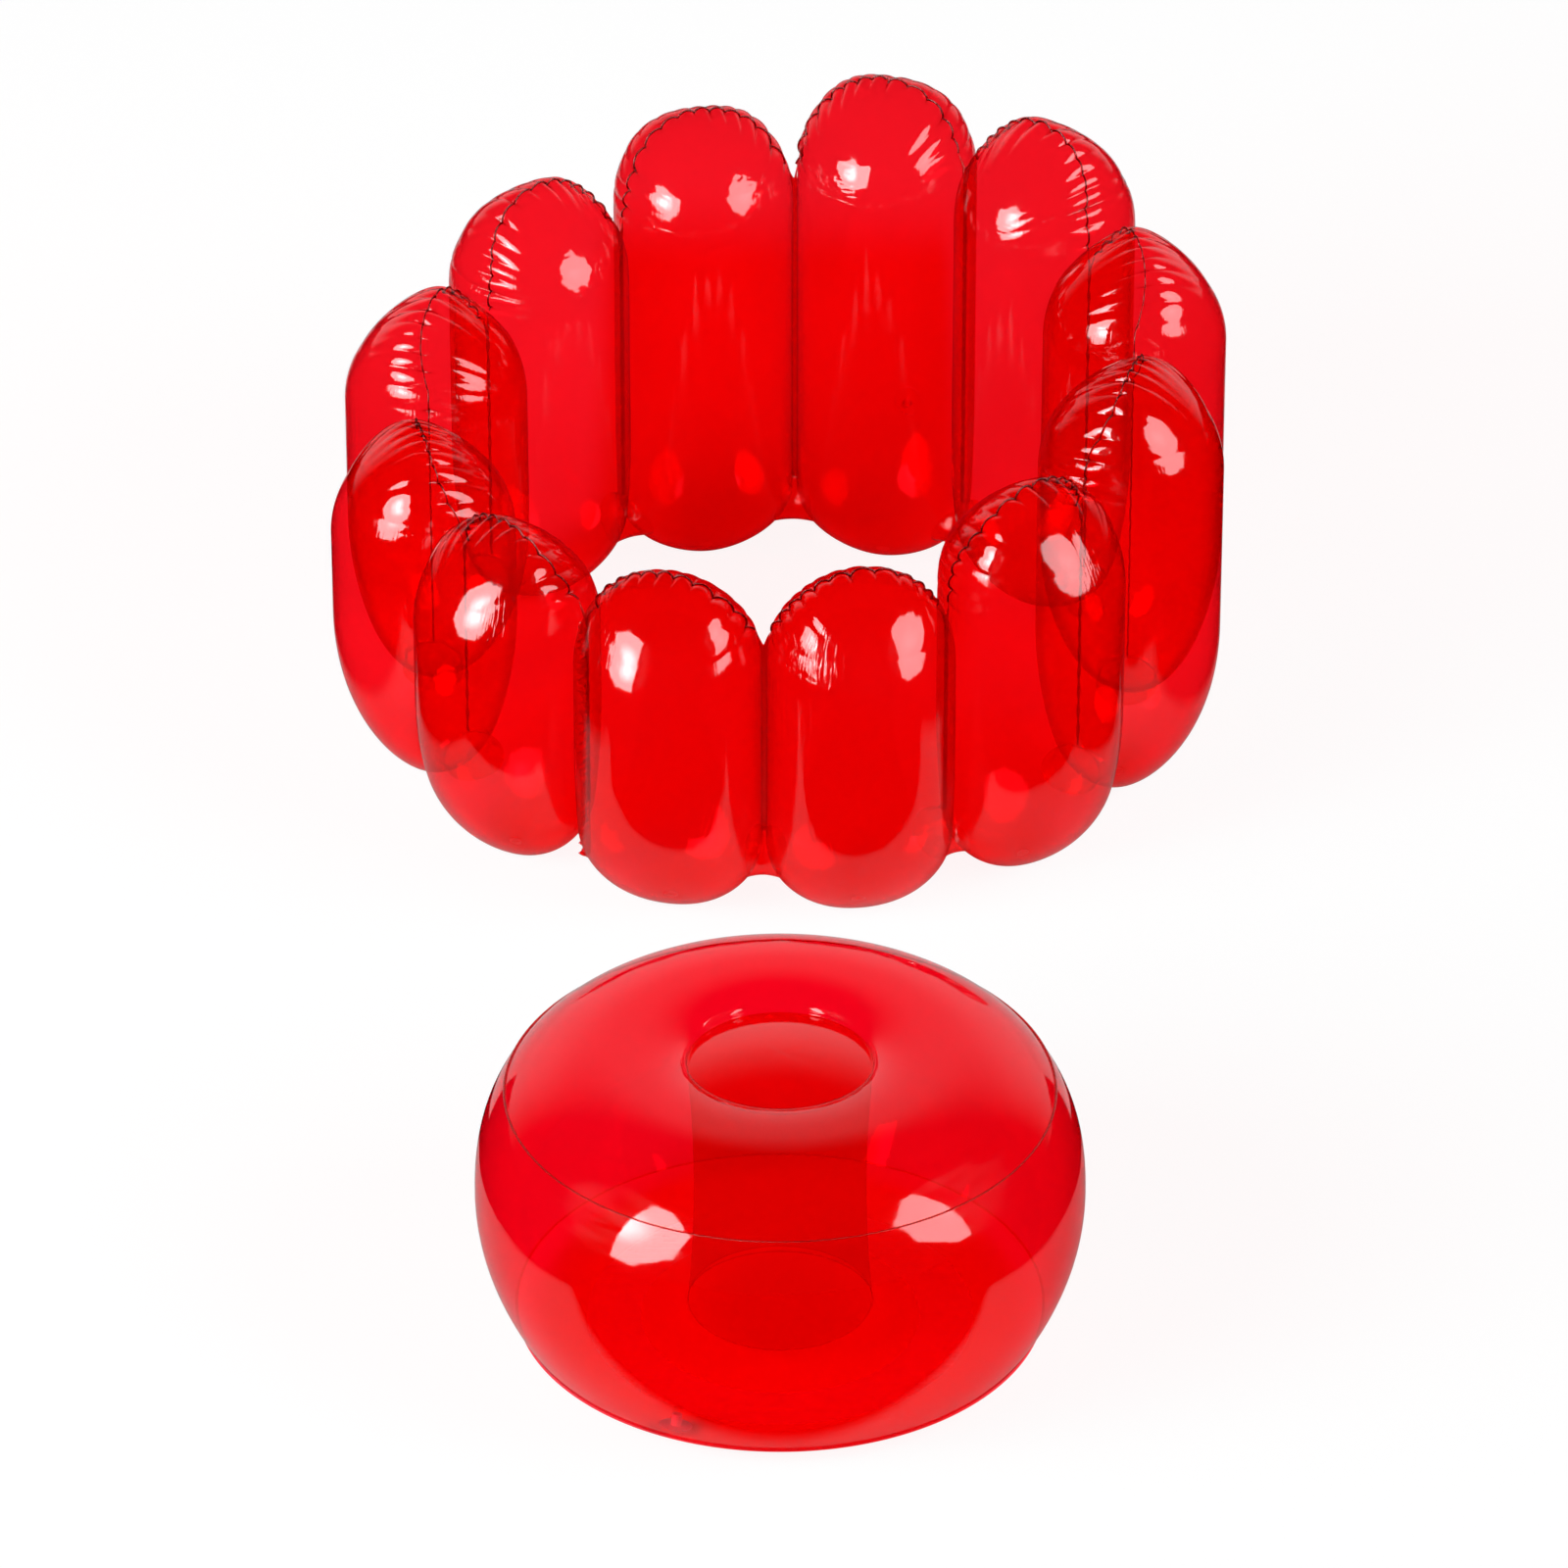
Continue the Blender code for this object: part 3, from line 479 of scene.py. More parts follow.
def ripple_group():
    group, given, result = new_group(
        "ShaderNodeTree", "film_ripple", {"Place": "Vector", "Streaks": "Float", "Waves": "Float"},
        {"Height": "Float", "Roughness": "Float"})
    streaks, waves = [add_node(group, "ShaderNodeTexNoise", None, Vector=given["Place"],
                               Scale=given[name], Detail=detail).outputs["Fac"]
                      for name, detail in (("Streaks", 2.0), ("Waves", 1.0))]
    fine = maths(group, "MULTIPLY", streaks, STREAK_SHARE)
    feed(group, result["Height"], maths(group, "ADD", fine, waves))
    rough = add_node(group, "ShaderNodeMapRange", None, Value=streaks, From_Min=STREAK_RANGE[0],
                     From_Max=STREAK_RANGE[1], To_Min=ROUGHNESS_RANGE[0], To_Max=ROUGHNESS_RANGE[1])
    feed(group, result["Roughness"], rough.outputs[0])
    return group


RIPPLE = ripple_group()
print("ripple group", len(RIPPLE.nodes), "nodes")

# %% [markdown]
# ## Streaks and gathers of the tubes
#
# The tubes' film carries two masks of its own, made further down with the tubes: where it is pulled
# into fine upright streaks, and how deep a gather is. The first adds height to the ripples. The
# second darkens the film's tint in the bottom of every gather, where the film lies in folds:
# painted shade in the creases.

# %% What the tubes' masks do
PULL_HEIGHT, PULL_STRETCH, PULL_CRISP = 0.5, (150, 16, 1), (0.42, 0.62)
FOLD_DEPTH, FOLD_SHADE = (0.30, 0.75), 0.85
# The outline weld's own dark tint, also used as painted shade in the creases of gathers
WELD_AND_CREASE_SHADE_TINT = (0.45, 0.01, 0.015)


def mask(tree, name):
    return add_node(tree, "ShaderNodeAttribute", {"attribute_name": name}).outputs["Fac"]


def pulled_height(tree, place, height):
    """The height with fine upright streaks added where the film is pulled."""
    narrow = add_node(tree, "ShaderNodeMapping", None, Vector=place.outputs["UV"],
                      Scale=PULL_STRETCH)
    lines = add_node(tree, "ShaderNodeTexNoise", {"noise_dimensions": "2D"},
                     Vector=narrow.outputs[0], Scale=1.0, Detail=1.0)
    crisp = smooth_step(tree, lines.outputs["Fac"], *PULL_CRISP)
    streaks = maths(tree, "MULTIPLY", crisp, mask(tree, "pull"))
    return maths(tree, "ADD", height, maths(tree, "MULTIPLY", streaks, PULL_HEIGHT))


def crease_shaded_tint(tree, tint):
    """The film's tint, with painted shade darkening it in the bottom of every gather."""
    fold = smooth_step(tree, mask(tree, "gather"), *FOLD_DEPTH, 0.0, FOLD_SHADE)
    shade = add_node(tree, "ShaderNodeMix", {"data_type": "RGBA"}, Factor=fold, A=(*tint, 1),
                     B=(*WELD_AND_CREASE_SHADE_TINT, 1))
    return shade.outputs["Result"]


print("folds darken from depth", FOLD_DEPTH[0])

# %% [markdown]
# ## The film's finish
#
# Soft clear vinyl is glass-like but half a millimetre thick, so it tints without bending what is
# behind it. A Transparent shader does that: each crossing multiplies the light by the film's tint,
# so two layers look pink-red and eight look deep red, as in the photograph. A smooth mirror is
# mixed over it by the angle of the surface. Film behind other film keeps only a faint edge, as a
# tube seen through another tube does.

# %% Film material
DEEP_EDGE = 0.22
MIRROR, WELD_MIRROR, PALE_MIRROR = (1.0, 0.88, 0.89), (1.0, 0.5, 0.5), (1.0, 0.85, 0.85)


def film_material(name, tint, grain, ripple, least_gloss=0.0, mirror=MIRROR, edge_power=5.0,
                  pulled=False):
    """Clear film: tinted see-through, with a mirror that grows towards the edges."""
    material, tree = new_material(name)
    place = add_node(tree, "ShaderNodeTexCoord")
    source, stretch = grain
    spot = add_node(tree, "ShaderNodeMapping", None, Vector=place.outputs[source], Scale=stretch)
    pattern = add_node(tree, "ShaderNodeGroup", {"node_tree": RIPPLE}, Place=spot.outputs[0],
                       Streaks=STREAKS, Waves=WAVES)
    height = pattern.outputs["Height"]
    if pulled:
        height = pulled_height(tree, place, height)
    bump = add_node(tree, "ShaderNodeBump", None, Strength=1.0, Distance=ripple, Height=height)
    edge = add_node(tree, "ShaderNodeLayerWeight", None, Blend=0.5, Normal=bump.outputs[0])
    slant = maths(tree, "POWER", edge.outputs["Facing"], edge_power)
    share = maths(tree, "ADD", maths(tree, "MULTIPLY", slant, 1.0 - least_gloss), least_gloss)
    deeper = behind_film(tree, add_node(tree, "ShaderNodeLightPath"))
    most = maths(tree, "SUBTRACT", 1.0, maths(tree, "MULTIPLY", deeper, 1.0 - DEEP_EDGE))
    clear = add_node(tree, "ShaderNodeBsdfTransparent", None, Color=(*tint, 1))
    if pulled:
        # Painted shade darkens the pulled tube film in its gathers
        feed(tree, clear.inputs["Color"], crease_shaded_tint(tree, tint))
    gloss = add_node(tree, "ShaderNodeBsdfPrincipled", None, Base_Color=(*mirror, 1), Metallic=1.0,
                     Roughness=pattern.outputs["Roughness"], Normal=bump.outputs[0])
    show(tree, mixed(tree, maths(tree, "MINIMUM", share, most), clear.outputs[0],
                     gloss.outputs[0]))
    return material


print("deepest edge", DEEP_EDGE)

# %% [markdown]
# ## The finishes
#
# Ten finishes differ in tint, in how much they mirror face on, and in how soon their edges start to
# mirror. A high edge power keeps the mirror to the very edge, for the column and the welds inside
# the seat, which would else hide what lies behind them. Large films take their ripples along their
# own UV map, small ones straight from their place.

# %% Finishes
TUBE_GRAIN, SEAT_GRAIN = ("UV", (0.9, 0.6, 1)), ("UV", (1.0, 0.5, 1))
SMALL_GRAIN, WELD_GRAIN, VALVE_GRAIN = [("Object", (n, n, n)) for n in (30, 60, 90)]
FILM_TINT, SEAT_TINT, COLUMN_TINT = (1.0, 0.085, 0.13), (1.0, 0.03, 0.11), (0.90, 0.02, 0.07)
WELD_TINT, INNER_TINT = (0.80, 0.03, 0.045), (0.95, 0.30, 0.36)
CRUMPLE_TINT, VALVE_TINT = (0.92, 0.06, 0.09), (1.0, 0.70, 0.74)
LEAST_GLOSS = 0.06

tube_film = film_material("clear_red_film", FILM_TINT, TUBE_GRAIN, 0.0007, LEAST_GLOSS,
                          pulled=True)
seat_film = film_material("clear_red_seat_film", SEAT_TINT, SEAT_GRAIN, 0.0005, LEAST_GLOSS)
under_film = film_material("clear_red_under_film", SEAT_TINT, SEAT_GRAIN, 0.0004, edge_power=9.0)
column_film = film_material("clear_red_column_film", COLUMN_TINT, SEAT_GRAIN, 0.0004,
                            edge_power=60.0)
inner_weld = film_material("inner_weld_film", INNER_TINT, WELD_GRAIN, 0.0004, edge_power=40.0)
small_film = film_material("clear_red_small_film", FILM_TINT, SMALL_GRAIN, 0.001, LEAST_GLOSS)
weld_film = film_material("welded_film", WELD_TINT, WELD_GRAIN, 0.0012, 0.16, WELD_MIRROR)
seam_film = film_material("outline_weld_film", WELD_AND_CREASE_SHADE_TINT, WELD_GRAIN, 0.0008, 0.10, WELD_MIRROR)
crumpled_film = film_material("crumpled_weld_film", CRUMPLE_TINT, WELD_GRAIN, 0.0012, 0.30,
                              PALE_MIRROR)
valve_film = film_material("valve_moulding", VALVE_TINT, VALVE_GRAIN, 0.0004, 0.03, PALE_MIRROR,
                           edge_power=12.0)
print("film materials", sum("film" in material.name for material in bpy.data.materials))

# %% [markdown]
# ## The shape of a tube
#
# Each tube is two flat films welded along an outline and blown up. It is round in the middle,
# flattened to the weld over its head, and rounder at its foot. Two quarter ovals describe that: one
# for its width, which follows the outline, and one for its thickness. The heights of the tubes rise
# in shares from the front to the back.

# %% Rules of a tube
TUBE_COUNT, RING_RADIUS = 12, 0.420
FRONT_HEIGHT, BACK_HEIGHT = 0.428, 0.634
RISE_SHARES = (0.0, 0.05, 0.31, 0.55, 0.78, 1.0)
WELD_WIDTH, CLEARANCE, FOOT_CUT = 0.004, 0.0003, 0.0005
HALF_STEP = math.pi / TUBE_COUNT
TUBE_RADIUS = RING_RADIUS * math.sin(HALF_STEP) - WELD_WIDTH / 2 - CLEARANCE
WELD_X, WELD_Y = TUBE_RADIUS * math.cos(HALF_STEP), -TUBE_RADIUS * math.sin(HALF_STEP)
LOW_OUTLINE, TOP_OUTLINE = 0.80 * TUBE_RADIUS, 1.10 * TUBE_RADIUS
LOW_SWELL, TOP_SWELL, HEAD_POWER = 1.90 * TUBE_RADIUS, 1.25 * TUBE_RADIUS, 0.75
MIDDLE_LEAN, EDGE_START = 0.08 * TUBE_RADIUS, 0.68 * TUBE_RADIUS


def tube_height(number):
    pair = min(number, TUBE_COUNT + 1 - number) - 1
    return FRONT_HEIGHT + (BACK_HEIGHT - FRONT_HEIGHT) * RISE_SHARES[pair]


def neighbour(number, side):
    """The next tube clockwise for side 1, or the other way for side -1."""
    return (number - side - 1) % TUBE_COUNT + 1


def quarter(share, power=0.5):
    """A quarter oval: 0 at its end, upright there, and level at 1."""
    rest = 1 - np.clip(share, 0, 1)
    return (1 - rest * rest) ** power


def widths(run, length):
    """Shares of the full width and thickness at a height."""
    width = quarter(run / LOW_OUTLINE) * quarter((length - run) / TOP_OUTLINE)
    swell = quarter(run / LOW_SWELL) * quarter((length - run) / TOP_SWELL, HEAD_POWER)
    return width, swell


def middle_y(x, lean=1.0):
    """Line in plan that the weld follows across a tube."""
    return lean * (-MIDDLE_LEAN + (WELD_Y + MIDDLE_LEAN) * (x / WELD_X) ** 2)


def head_lean(run, length):
    """1 where the tube is held by its neighbours, falling to 0 at the top of its head."""
    return np.minimum(1.0, (length - run) / EDGE_START)


print("tube radius", round(TUBE_RADIUS, 4), "heights",
      [round(tube_height(number), 3) for number in range(1, TUBE_COUNT + 1)])

# %% [markdown]
# ## Gathers along the weld
#
# Along the weld over a head, the film has more length than the outline, so it gathers in small
# pinches that fade out into the tube. They are placed by their distance along the outline, with a
# scatter of their own in place, reach and strength. They could be a bump in the material, but then
# the silhouette would stay smooth, so they move the surface itself.

# %% Pinches and their places
PINCH_PITCH, PINCH_DEPTH, PINCH_REACH = 0.0235, 0.0085, (0.016, 0.044)
PINCH_STRAY, PINCH_STRAY_LENGTH, PINCH_STRAY_STEP = 0.3, 0.031, 1.7
PINCH_LEAST, PINCH_CHANCE, PINCH_SEED, VALLEY_POWER = 0.55, 0.45, 40, 0.7
NOTCH_DROP, NOTCH_FADE = 0.85 * TUBE_RADIUS, 0.02
OUTLINE_STEPS = 400


def scatter(index, seed):
    """An even spread of numbers from 0 to 1 that is the same in each run."""
    return np.modf(np.abs(np.sin(index * 12.9898 + seed * 78.233) * 43758.5453))[0]


def along_outline(x, run, length):
    """Distance along the head's outline, from the height where the head starts to narrow."""
    start = length - TOP_OUTLINE
    turn = np.linspace(0, math.pi, OUTLINE_STEPS)
    path = np.stack([WELD_X * np.cos(turn), TOP_OUTLINE * np.sin(turn)], 1)
    reach = np.concatenate([[0], np.cumsum(np.linalg.norm(np.diff(path, axis=0), axis=1))])
    angle = np.arctan2((run - start) / TOP_OUTLINE, x / WELD_X)
    head = np.interp(angle, turn, reach)
    side = np.where(x >= 0, run - start, reach[-1] + start - run)
    return np.where(run >= start, head, side)


def pinch(distance, off, run, number, x):
    """How far the gathers pull the film in, from their place along and off the weld."""
    stray = PINCH_STRAY * np.sin(distance / PINCH_STRAY_LENGTH + number * PINCH_STRAY_STEP)
    place = distance / PINCH_PITCH + stray
    nearest = np.round(place)
    gap = np.abs(place - nearest)
    reach = PINCH_REACH[0] + (PINCH_REACH[1] - PINCH_REACH[0]) * scatter(nearest, number) ** 2
    strength = PINCH_LEAST + PINCH_CHANCE * scatter(nearest, number + PINCH_SEED)
    valley = (1 - np.sin(math.pi * gap) ** VALLEY_POWER) * np.exp(-off / reach) * strength
    notch = np.zeros_like(run)
    for side in (1, -1):
        lower = min(tube_height(number), tube_height(neighbour(number, side))) + FOOT_CUT
        fade = np.clip((run - (lower - NOTCH_DROP)) / NOTCH_FADE, 0, 1)
        notch = np.where(x * side >= 0, fade, notch)
    return valley * notch


print("gathers on the tallest head", round(float(along_outline(
    np.array(-WELD_X), np.array(BACK_HEIGHT - TOP_OUTLINE), BACK_HEIGHT)) / PINCH_PITCH))

# %% [markdown]
# ## The surface of a tube
#
# The surface is one grid of points, worked out from the rules above and moved inwards at each
# pinch. A grid wastes few points when its rows and columns lie closer together where more happens:
# at the weld and over the head.

# %% Grid of a tube
OUTER_STEPS, INNER_STEPS = ((92, 70))
LEVELS = ((40, 40, 26, 130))
SIDE_BUNCH, GATHER_BELOW_HEAD, SMALLEST = 0.6, 0.045, 1e-12


def bunched(count, start, end):
    """Steps from start up to, without, end, closer together at both ends."""
    share = np.linspace(0, 1, count, endpoint=False)
    return start + (end - start) * (share - SIDE_BUNCH * np.sin(2 * math.pi * share)
                                    / (2 * math.pi))


def section_angles():
    outer = bunched(OUTER_STEPS, -HALF_STEP, math.pi + HALF_STEP)
    inner = bunched(INNER_STEPS, math.pi + HALF_STEP, 2 * math.pi - HALF_STEP)
    return np.concatenate([outer, inner])


def level_runs(length):
    """Heights of the circles of points, closest together over the head and its gathers."""
    foot, body, below, head = LEVELS
    start = length - TOP_OUTLINE
    gather = start - GATHER_BELOW_HEAD
    turn = np.linspace(0, math.pi / 2, foot + 1)[1:]
    return np.concatenate([
        LOW_OUTLINE * (1 - np.cos(turn)),
        np.linspace(LOW_OUTLINE, gather, body, endpoint=False)[1:],
        np.linspace(gather, start, below, endpoint=False),
        start + TOP_OUTLINE * np.sin(np.linspace(0, math.pi / 2, head, endpoint=False))])


def tube_grid(number):
    """Points of a tube by level and angle, x across, y outwards, z up; and its gathers' depth."""
    length = tube_height(number) + FOOT_CUT
    runs = level_runs(length)
    run, angle = np.meshgrid(runs, section_angles(), indexing="ij")
    width, swell = widths(run, length)
    full_x, full_y = TUBE_RADIUS * np.cos(angle), TUBE_RADIUS * np.sin(angle)
    x = width * full_x
    off = swell * (full_y - middle_y(full_x))
    middle = middle_y(x, head_lean(run, length))
    points = np.stack([x, middle + off, run - FOOT_CUT], 2)
    around = np.roll(points, -1, 1) - np.roll(points, 1, 1)
    outwards = np.cross(around, np.gradient(points, axis=0))
    outwards /= np.maximum(np.linalg.norm(outwards, axis=2, keepdims=True), SMALLEST)
    gather = pinch(along_outline(x, run, length), np.abs(off), run, number, x)
    points -= outwards * PINCH_DEPTH * gather[..., None]
    points[..., 2] = np.maximum(points[..., 2], 0)
    return points, runs, length, gather


print("grid of a tube", len(level_runs(FRONT_HEIGHT)), "by", len(section_angles()))

# %% [markdown]
# ## The tubes' masks and meshes
#
# Each tube becomes a closed mesh with its own UV map, which runs around it and up, and with the two
# masks that its finish reads. The streaks lie in a band at its sides below the head, in a small
# patch on its face, and faintly along its body.

# %% Tubes
BAND_DROP, BAND_SPREAD = 0.135, 0.042
PATCH_DROP, PATCH_SPREAD, PATCH_TURN_SPREAD = 0.085, 0.035, 0.3
PATCH_TUBE, PATCH_TURN, PATCH_STRENGTH = 2, 0.95, 0.35
PATCH_TURN_START, PATCH_TURN_CHANCE, PATCH_SEED = 0.6, 2.0, 7
BODY_DROP, BODY_SPREAD, BODY_STRENGTH = 0.33, 0.10, 0.16


def bell(value, middle, spread):
    return np.exp(-((value - middle) / spread) ** 2)


def pulls(angle, run, number, length):
    """Where the film is pulled into fine upright streaks, from 0 for smooth to 1."""
    below_top = length - run
    sides = np.abs(np.cos(angle)) ** 2 * bell(below_top, BAND_DROP, BAND_SPREAD)
    turn = PATCH_TURN_START + PATCH_TURN_CHANCE * scatter(np.array(number), PATCH_SEED)
    turn, strength = (PATCH_TURN, 1.0) if number == PATCH_TUBE else (turn, PATCH_STRENGTH)
    patch = bell(angle, turn, PATCH_TURN_SPREAD) * bell(below_top, PATCH_DROP, PATCH_SPREAD)
    body = bell(below_top, BODY_DROP, BODY_SPREAD) * BODY_STRENGTH
    return np.clip(sides + patch * strength + body, 0, 1)


def on_ring(angle, radius):
    place = RING_CENTRE + plan(radius, angle)
    return Matrix.Translation(place) @ Matrix.Rotation(angle + math.pi, 4, "Z")


def on_tube(number):
    """Where a tube's own points lie in the part's frame."""
    return on_ring(HALF_STEP * (2 * number - 1), RING_RADIUS)


def placed(points, matrix):
    """Points moved by a matrix, as one array."""
    turn = np.array(matrix.to_3x3())
    return np.asarray(points).reshape(-1, 3) @ turn.T + np.array(matrix.translation)


def grid_faces(levels, sides, start=0, closed=True):
    """Faces of a grid whose rows go around and whose levels go up."""
    last = sides if closed else sides - 1
    level, side = np.meshgrid(np.arange(levels - 1), np.arange(last), indexing="ij")
    after = (side + 1) % sides
    low, high = start + level * sides, start + (level + 1) * sides
    return np.stack([low + side, low + after, high + after, high + side], 2).reshape(-1, 4)


def tube_faces(levels, sides):
    """The grid's faces, with a fan of triangles to the foot's point and one to the head's."""
    faces = grid_faces(levels, sides).tolist()
    foot, last = levels * sides, (levels - 1) * sides
    for side in range(sides):
        after = (side + 1) % sides
        faces.append((after, side, foot))
        faces.append((last + side, last + after, foot + 1))
    return faces


def tube_uv(mesh, runs, length):
    """UV of each corner; corners past the start of the round get 1 more, so no face runs back."""
    sides = len(section_angles())
    side_of = np.arange(len(runs) * sides) % sides
    round_share = (section_angles()[side_of] + HALF_STEP) / (2 * math.pi)
    up_share = 1 - (length - np.repeat(runs, sides)) / BACK_HEIGHT
    uv = np.stack([round_share, up_share], 1)
    uv = np.concatenate([uv, [[0.5, 1 - length / BACK_HEIGHT], [0.5, 1]]])
    corner = np.zeros(len(mesh.loops), np.int32)
    mesh.loops.foreach_get("vertex_index", corner)
    flat = uv[corner]
    starts = np.zeros(len(mesh.polygons), np.int32)
    mesh.polygons.foreach_get("loop_start", starts)
    for offset in range(4):
        spot = np.minimum(starts + offset, len(corner) - 1)
        wraps = flat[spot, 0] < flat[starts, 0] - 0.5
        flat[spot[wraps], 0] += 1
    return flat


def finish_piece(piece, body, nodes=()):
    """Smooth shading, its body and the nodes that it stands for."""
    piece.data.shade_smooth()
    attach(piece, body)
    if nodes:
        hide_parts(*nodes)
    return piece


def make_tube(number):
    points, runs, length, gather = tube_grid(number)
    ends = [[0, middle_y(0.0), 0], [0, 0, length - FOOT_CUT]]
    cloud = placed(np.concatenate([points.reshape(-1, 3), ends]), on_tube(number))
    tube = add_mesh(f"tube_film_{number:02d}", cloud, tube_faces(*points.shape[:2]), tube_film)
    layer = tube.data.uv_layers.new(name="around_and_up")
    layer.data.foreach_set("uv", tube_uv(tube.data, runs, length).astype(np.float32).ravel())
    run, angle = np.meshgrid(runs, section_angles(), indexing="ij")
    for name, values in (("pull", pulls(angle, run, number, length)), ("gather", gather)):
        values = np.append(values.ravel(), [0, 0]).astype(np.float32)
        tube.data.attributes.new(name, "FLOAT", "POINT").data.foreach_set("value", values)
    return finish_piece(tube, "ring", [f"ring_tube_{number:02d}"])


tubes = [make_tube(number) for number in range(1, TUBE_COUNT + 1)]
print("tubes", len(tubes), "faces each", len(tubes[0].data.polygons))

# %% [markdown]
# ## Welds over the heads
#
# The outline weld is a narrow double film that stands out from the seam and follows every pinch.
# It is lofted along the same grid column that the seam runs in, so it can't drift off the tube.

# %% Outline weld
FILM = 0.0005
EDGE_WIDTH, EDGE_SMOOTHING = 0.0022, 5


def seam_path(number, low_side, high_side):
    """The seam over one head, from the clockwise side to the other, and the way out of it."""
    points, runs, length, _ = tube_grid(number)
    right = points[runs - FOOT_CUT >= low_side, 0]
    left = points[runs - FOOT_CUT >= high_side, OUTER_STEPS][::-1]
    top = np.array([[0, 0, length - FOOT_CUT]])
    return np.concatenate([right, top, left])


def strip_along(path, width, thickness):
    """Rectangular sections of a strip that stands out from a path in its own plane."""
    ahead = np.gradient(path, axis=0)
    out = np.stack([ahead[:, 2], np.zeros(len(path)), -ahead[:, 0]], 1)
    out /= np.maximum(np.linalg.norm(out, axis=1, keepdims=True), SMALLEST)
    kernel = np.ones(EDGE_SMOOTHING) / EDGE_SMOOTHING
    for axis in (0, 2):
        padded_out = np.pad(out[:, axis], EDGE_SMOOTHING // 2, mode="edge")
        out[:, axis] = np.convolve(padded_out, kernel, mode="valid")
    edge = path + out * width
    depth = np.array([0, thickness / 2, 0])
    return np.stack([path - depth, edge - depth, edge + depth, path + depth], 1)


def strip_faces(count, sides, start):
    """Faces of a strip from its sections, with both ends closed."""
    faces = grid_faces(count, sides, start).tolist()
    faces.append([start + k for k in reversed(range(sides))])
    faces.append([start + (count - 1) * sides + k for k in range(sides)])
    return faces


def make_outline_weld():
    cloud, faces, start = [], [], 0
    for number in range(1, TUBE_COUNT + 1):
        levels = [min(tube_height(number), tube_height(neighbour(number, side))) - EDGE_START
                  for side in (1, -1)]
        sections = strip_along(seam_path(number, *levels), EDGE_WIDTH, 2 * FILM)
        cloud.append(placed(sections, on_tube(number)))
        faces += strip_faces(*sections.shape[:2], start)
        start += len(cloud[-1])
    weld = add_mesh("head_outline_weld_film", np.concatenate(cloud), faces, seam_film)
    return finish_piece(weld, "ring", ["head_outline_weld"])


print("outline weld faces", len(make_outline_weld().data.polygons))

# %% [markdown]
# ## Webs between the tubes
#
# Between two tubes the film goes on as a small web, from the air passage up to a hollow upper edge
# in the notch between the heads. It is a thin sheet stretched between the two seams, with a front,
# a back and a rim, and with faint waves.

# %% Webs
PASSAGE_LOW, PASSAGE_HIGH = 0.36 * TUBE_RADIUS, 0.88 * TUBE_RADIUS
WEB_SIDE_RISE, WEB_HOLLOW_POWER = 0.16 * TUBE_RADIUS, 1.6
WEB_ROWS, WEB_COLUMNS = 60, 9
WEB_WAVE, WEB_WAVE_RATE, WEB_WAVE_SLANT = 0.0006, 240, 3


def seam_point(number, side, height):
    """Where the seam of a tube is at a height, in the part's frame."""
    length = tube_height(number) + FOOT_CUT
    x = side * WELD_X * float(widths(np.array(height + FOOT_CUT), length)[0])
    y = float(middle_y(x, head_lean(height + FOOT_CUT, length)))
    return on_tube(number) @ Vector((x, y, height))


def sheet_faces(rows, columns):
    """Faces of a thin sheet: its front, its back, whose points come second, and its rim."""
    count = rows * columns
    front = grid_faces(rows, columns, closed=False).tolist()
    back = [[count + k for k in reversed(face)] for face in front]
    rim = list(range(columns)) + [r * columns + columns - 1 for r in range(1, rows)]
    rim += [(rows - 1) * columns + c for c in reversed(range(columns - 1))]
    rim += [r * columns for r in reversed(range(1, rows - 1))]
    return front + back + [[after, here, count + here, count + after]
                           for here, after in zip(rim, rim[1:] + rim[:1])]


def make_web(number, first, second, name, nodes):
    """Film between two neighbouring seams."""
    notch = min(tube_height(first), tube_height(second)) - NOTCH_DROP
    front, back = [], []
    out = plan(1, 2 * HALF_STEP * number)
    for share in [row / (WEB_ROWS - 1) for row in range(WEB_ROWS)]:
        for across in [column / (WEB_COLUMNS - 1) for column in range(WEB_COLUMNS)]:
            top = notch + WEB_SIDE_RISE * abs(2 * across - 1) ** WEB_HOLLOW_POWER
            height = PASSAGE_HIGH + (top - PASSAGE_HIGH) * share
            point = seam_point(first, -1, height).lerp(seam_point(second, 1, height), across)
            wave = WEB_WAVE * math.sin(height * WEB_WAVE_RATE + across * WEB_WAVE_SLANT + number)
            front.append(point + out * (FILM + wave))
            back.append(point - out * (FILM - wave))
    web = add_mesh(name, front + back, sheet_faces(WEB_ROWS, WEB_COLUMNS), weld_film)
    return finish_piece(web, "ring", nodes)


webs = [make_web(n, n, n + 1, f"tube_weld_film_{n:02d}", [f"tube_weld_{n:02d}"])
        for n in range(1, TUBE_COUNT)]
print("webs", len(webs))

# %% [markdown]
# ## The closing weld
#
# The ring was made as a flat strip of tubes and closed with one last weld. That weld is crumpled: a
# narrow flange stands out from it and is gathered into small folds that catch the light. It is the
# same kind of thin sheet as a web, lofted with folds that deepen towards its ragged outer edge.

# %% Closing weld
WELD_RADIUS = RING_RADIUS * math.cos(HALF_STEP)
FLANGE_WIDTH, FLANGE_INSET, FLANGE_LOW = 0.015, 0.002, 0.22 * TUBE_RADIUS
FLANGE_ROWS, FLANGE_COLUMNS = 260, 7
FLANGE_FOLD, FOLD_RATE, FOLD_WANDER, FOLD_WANDER_RATE = 0.0030, 610, 2.1, 83
FINE_SHARE, FINE_RATE, FINE_SLANT = 0.5, 1370, 4
RAGGED_SHARE, RAGGED_RATE = 0.24, 470


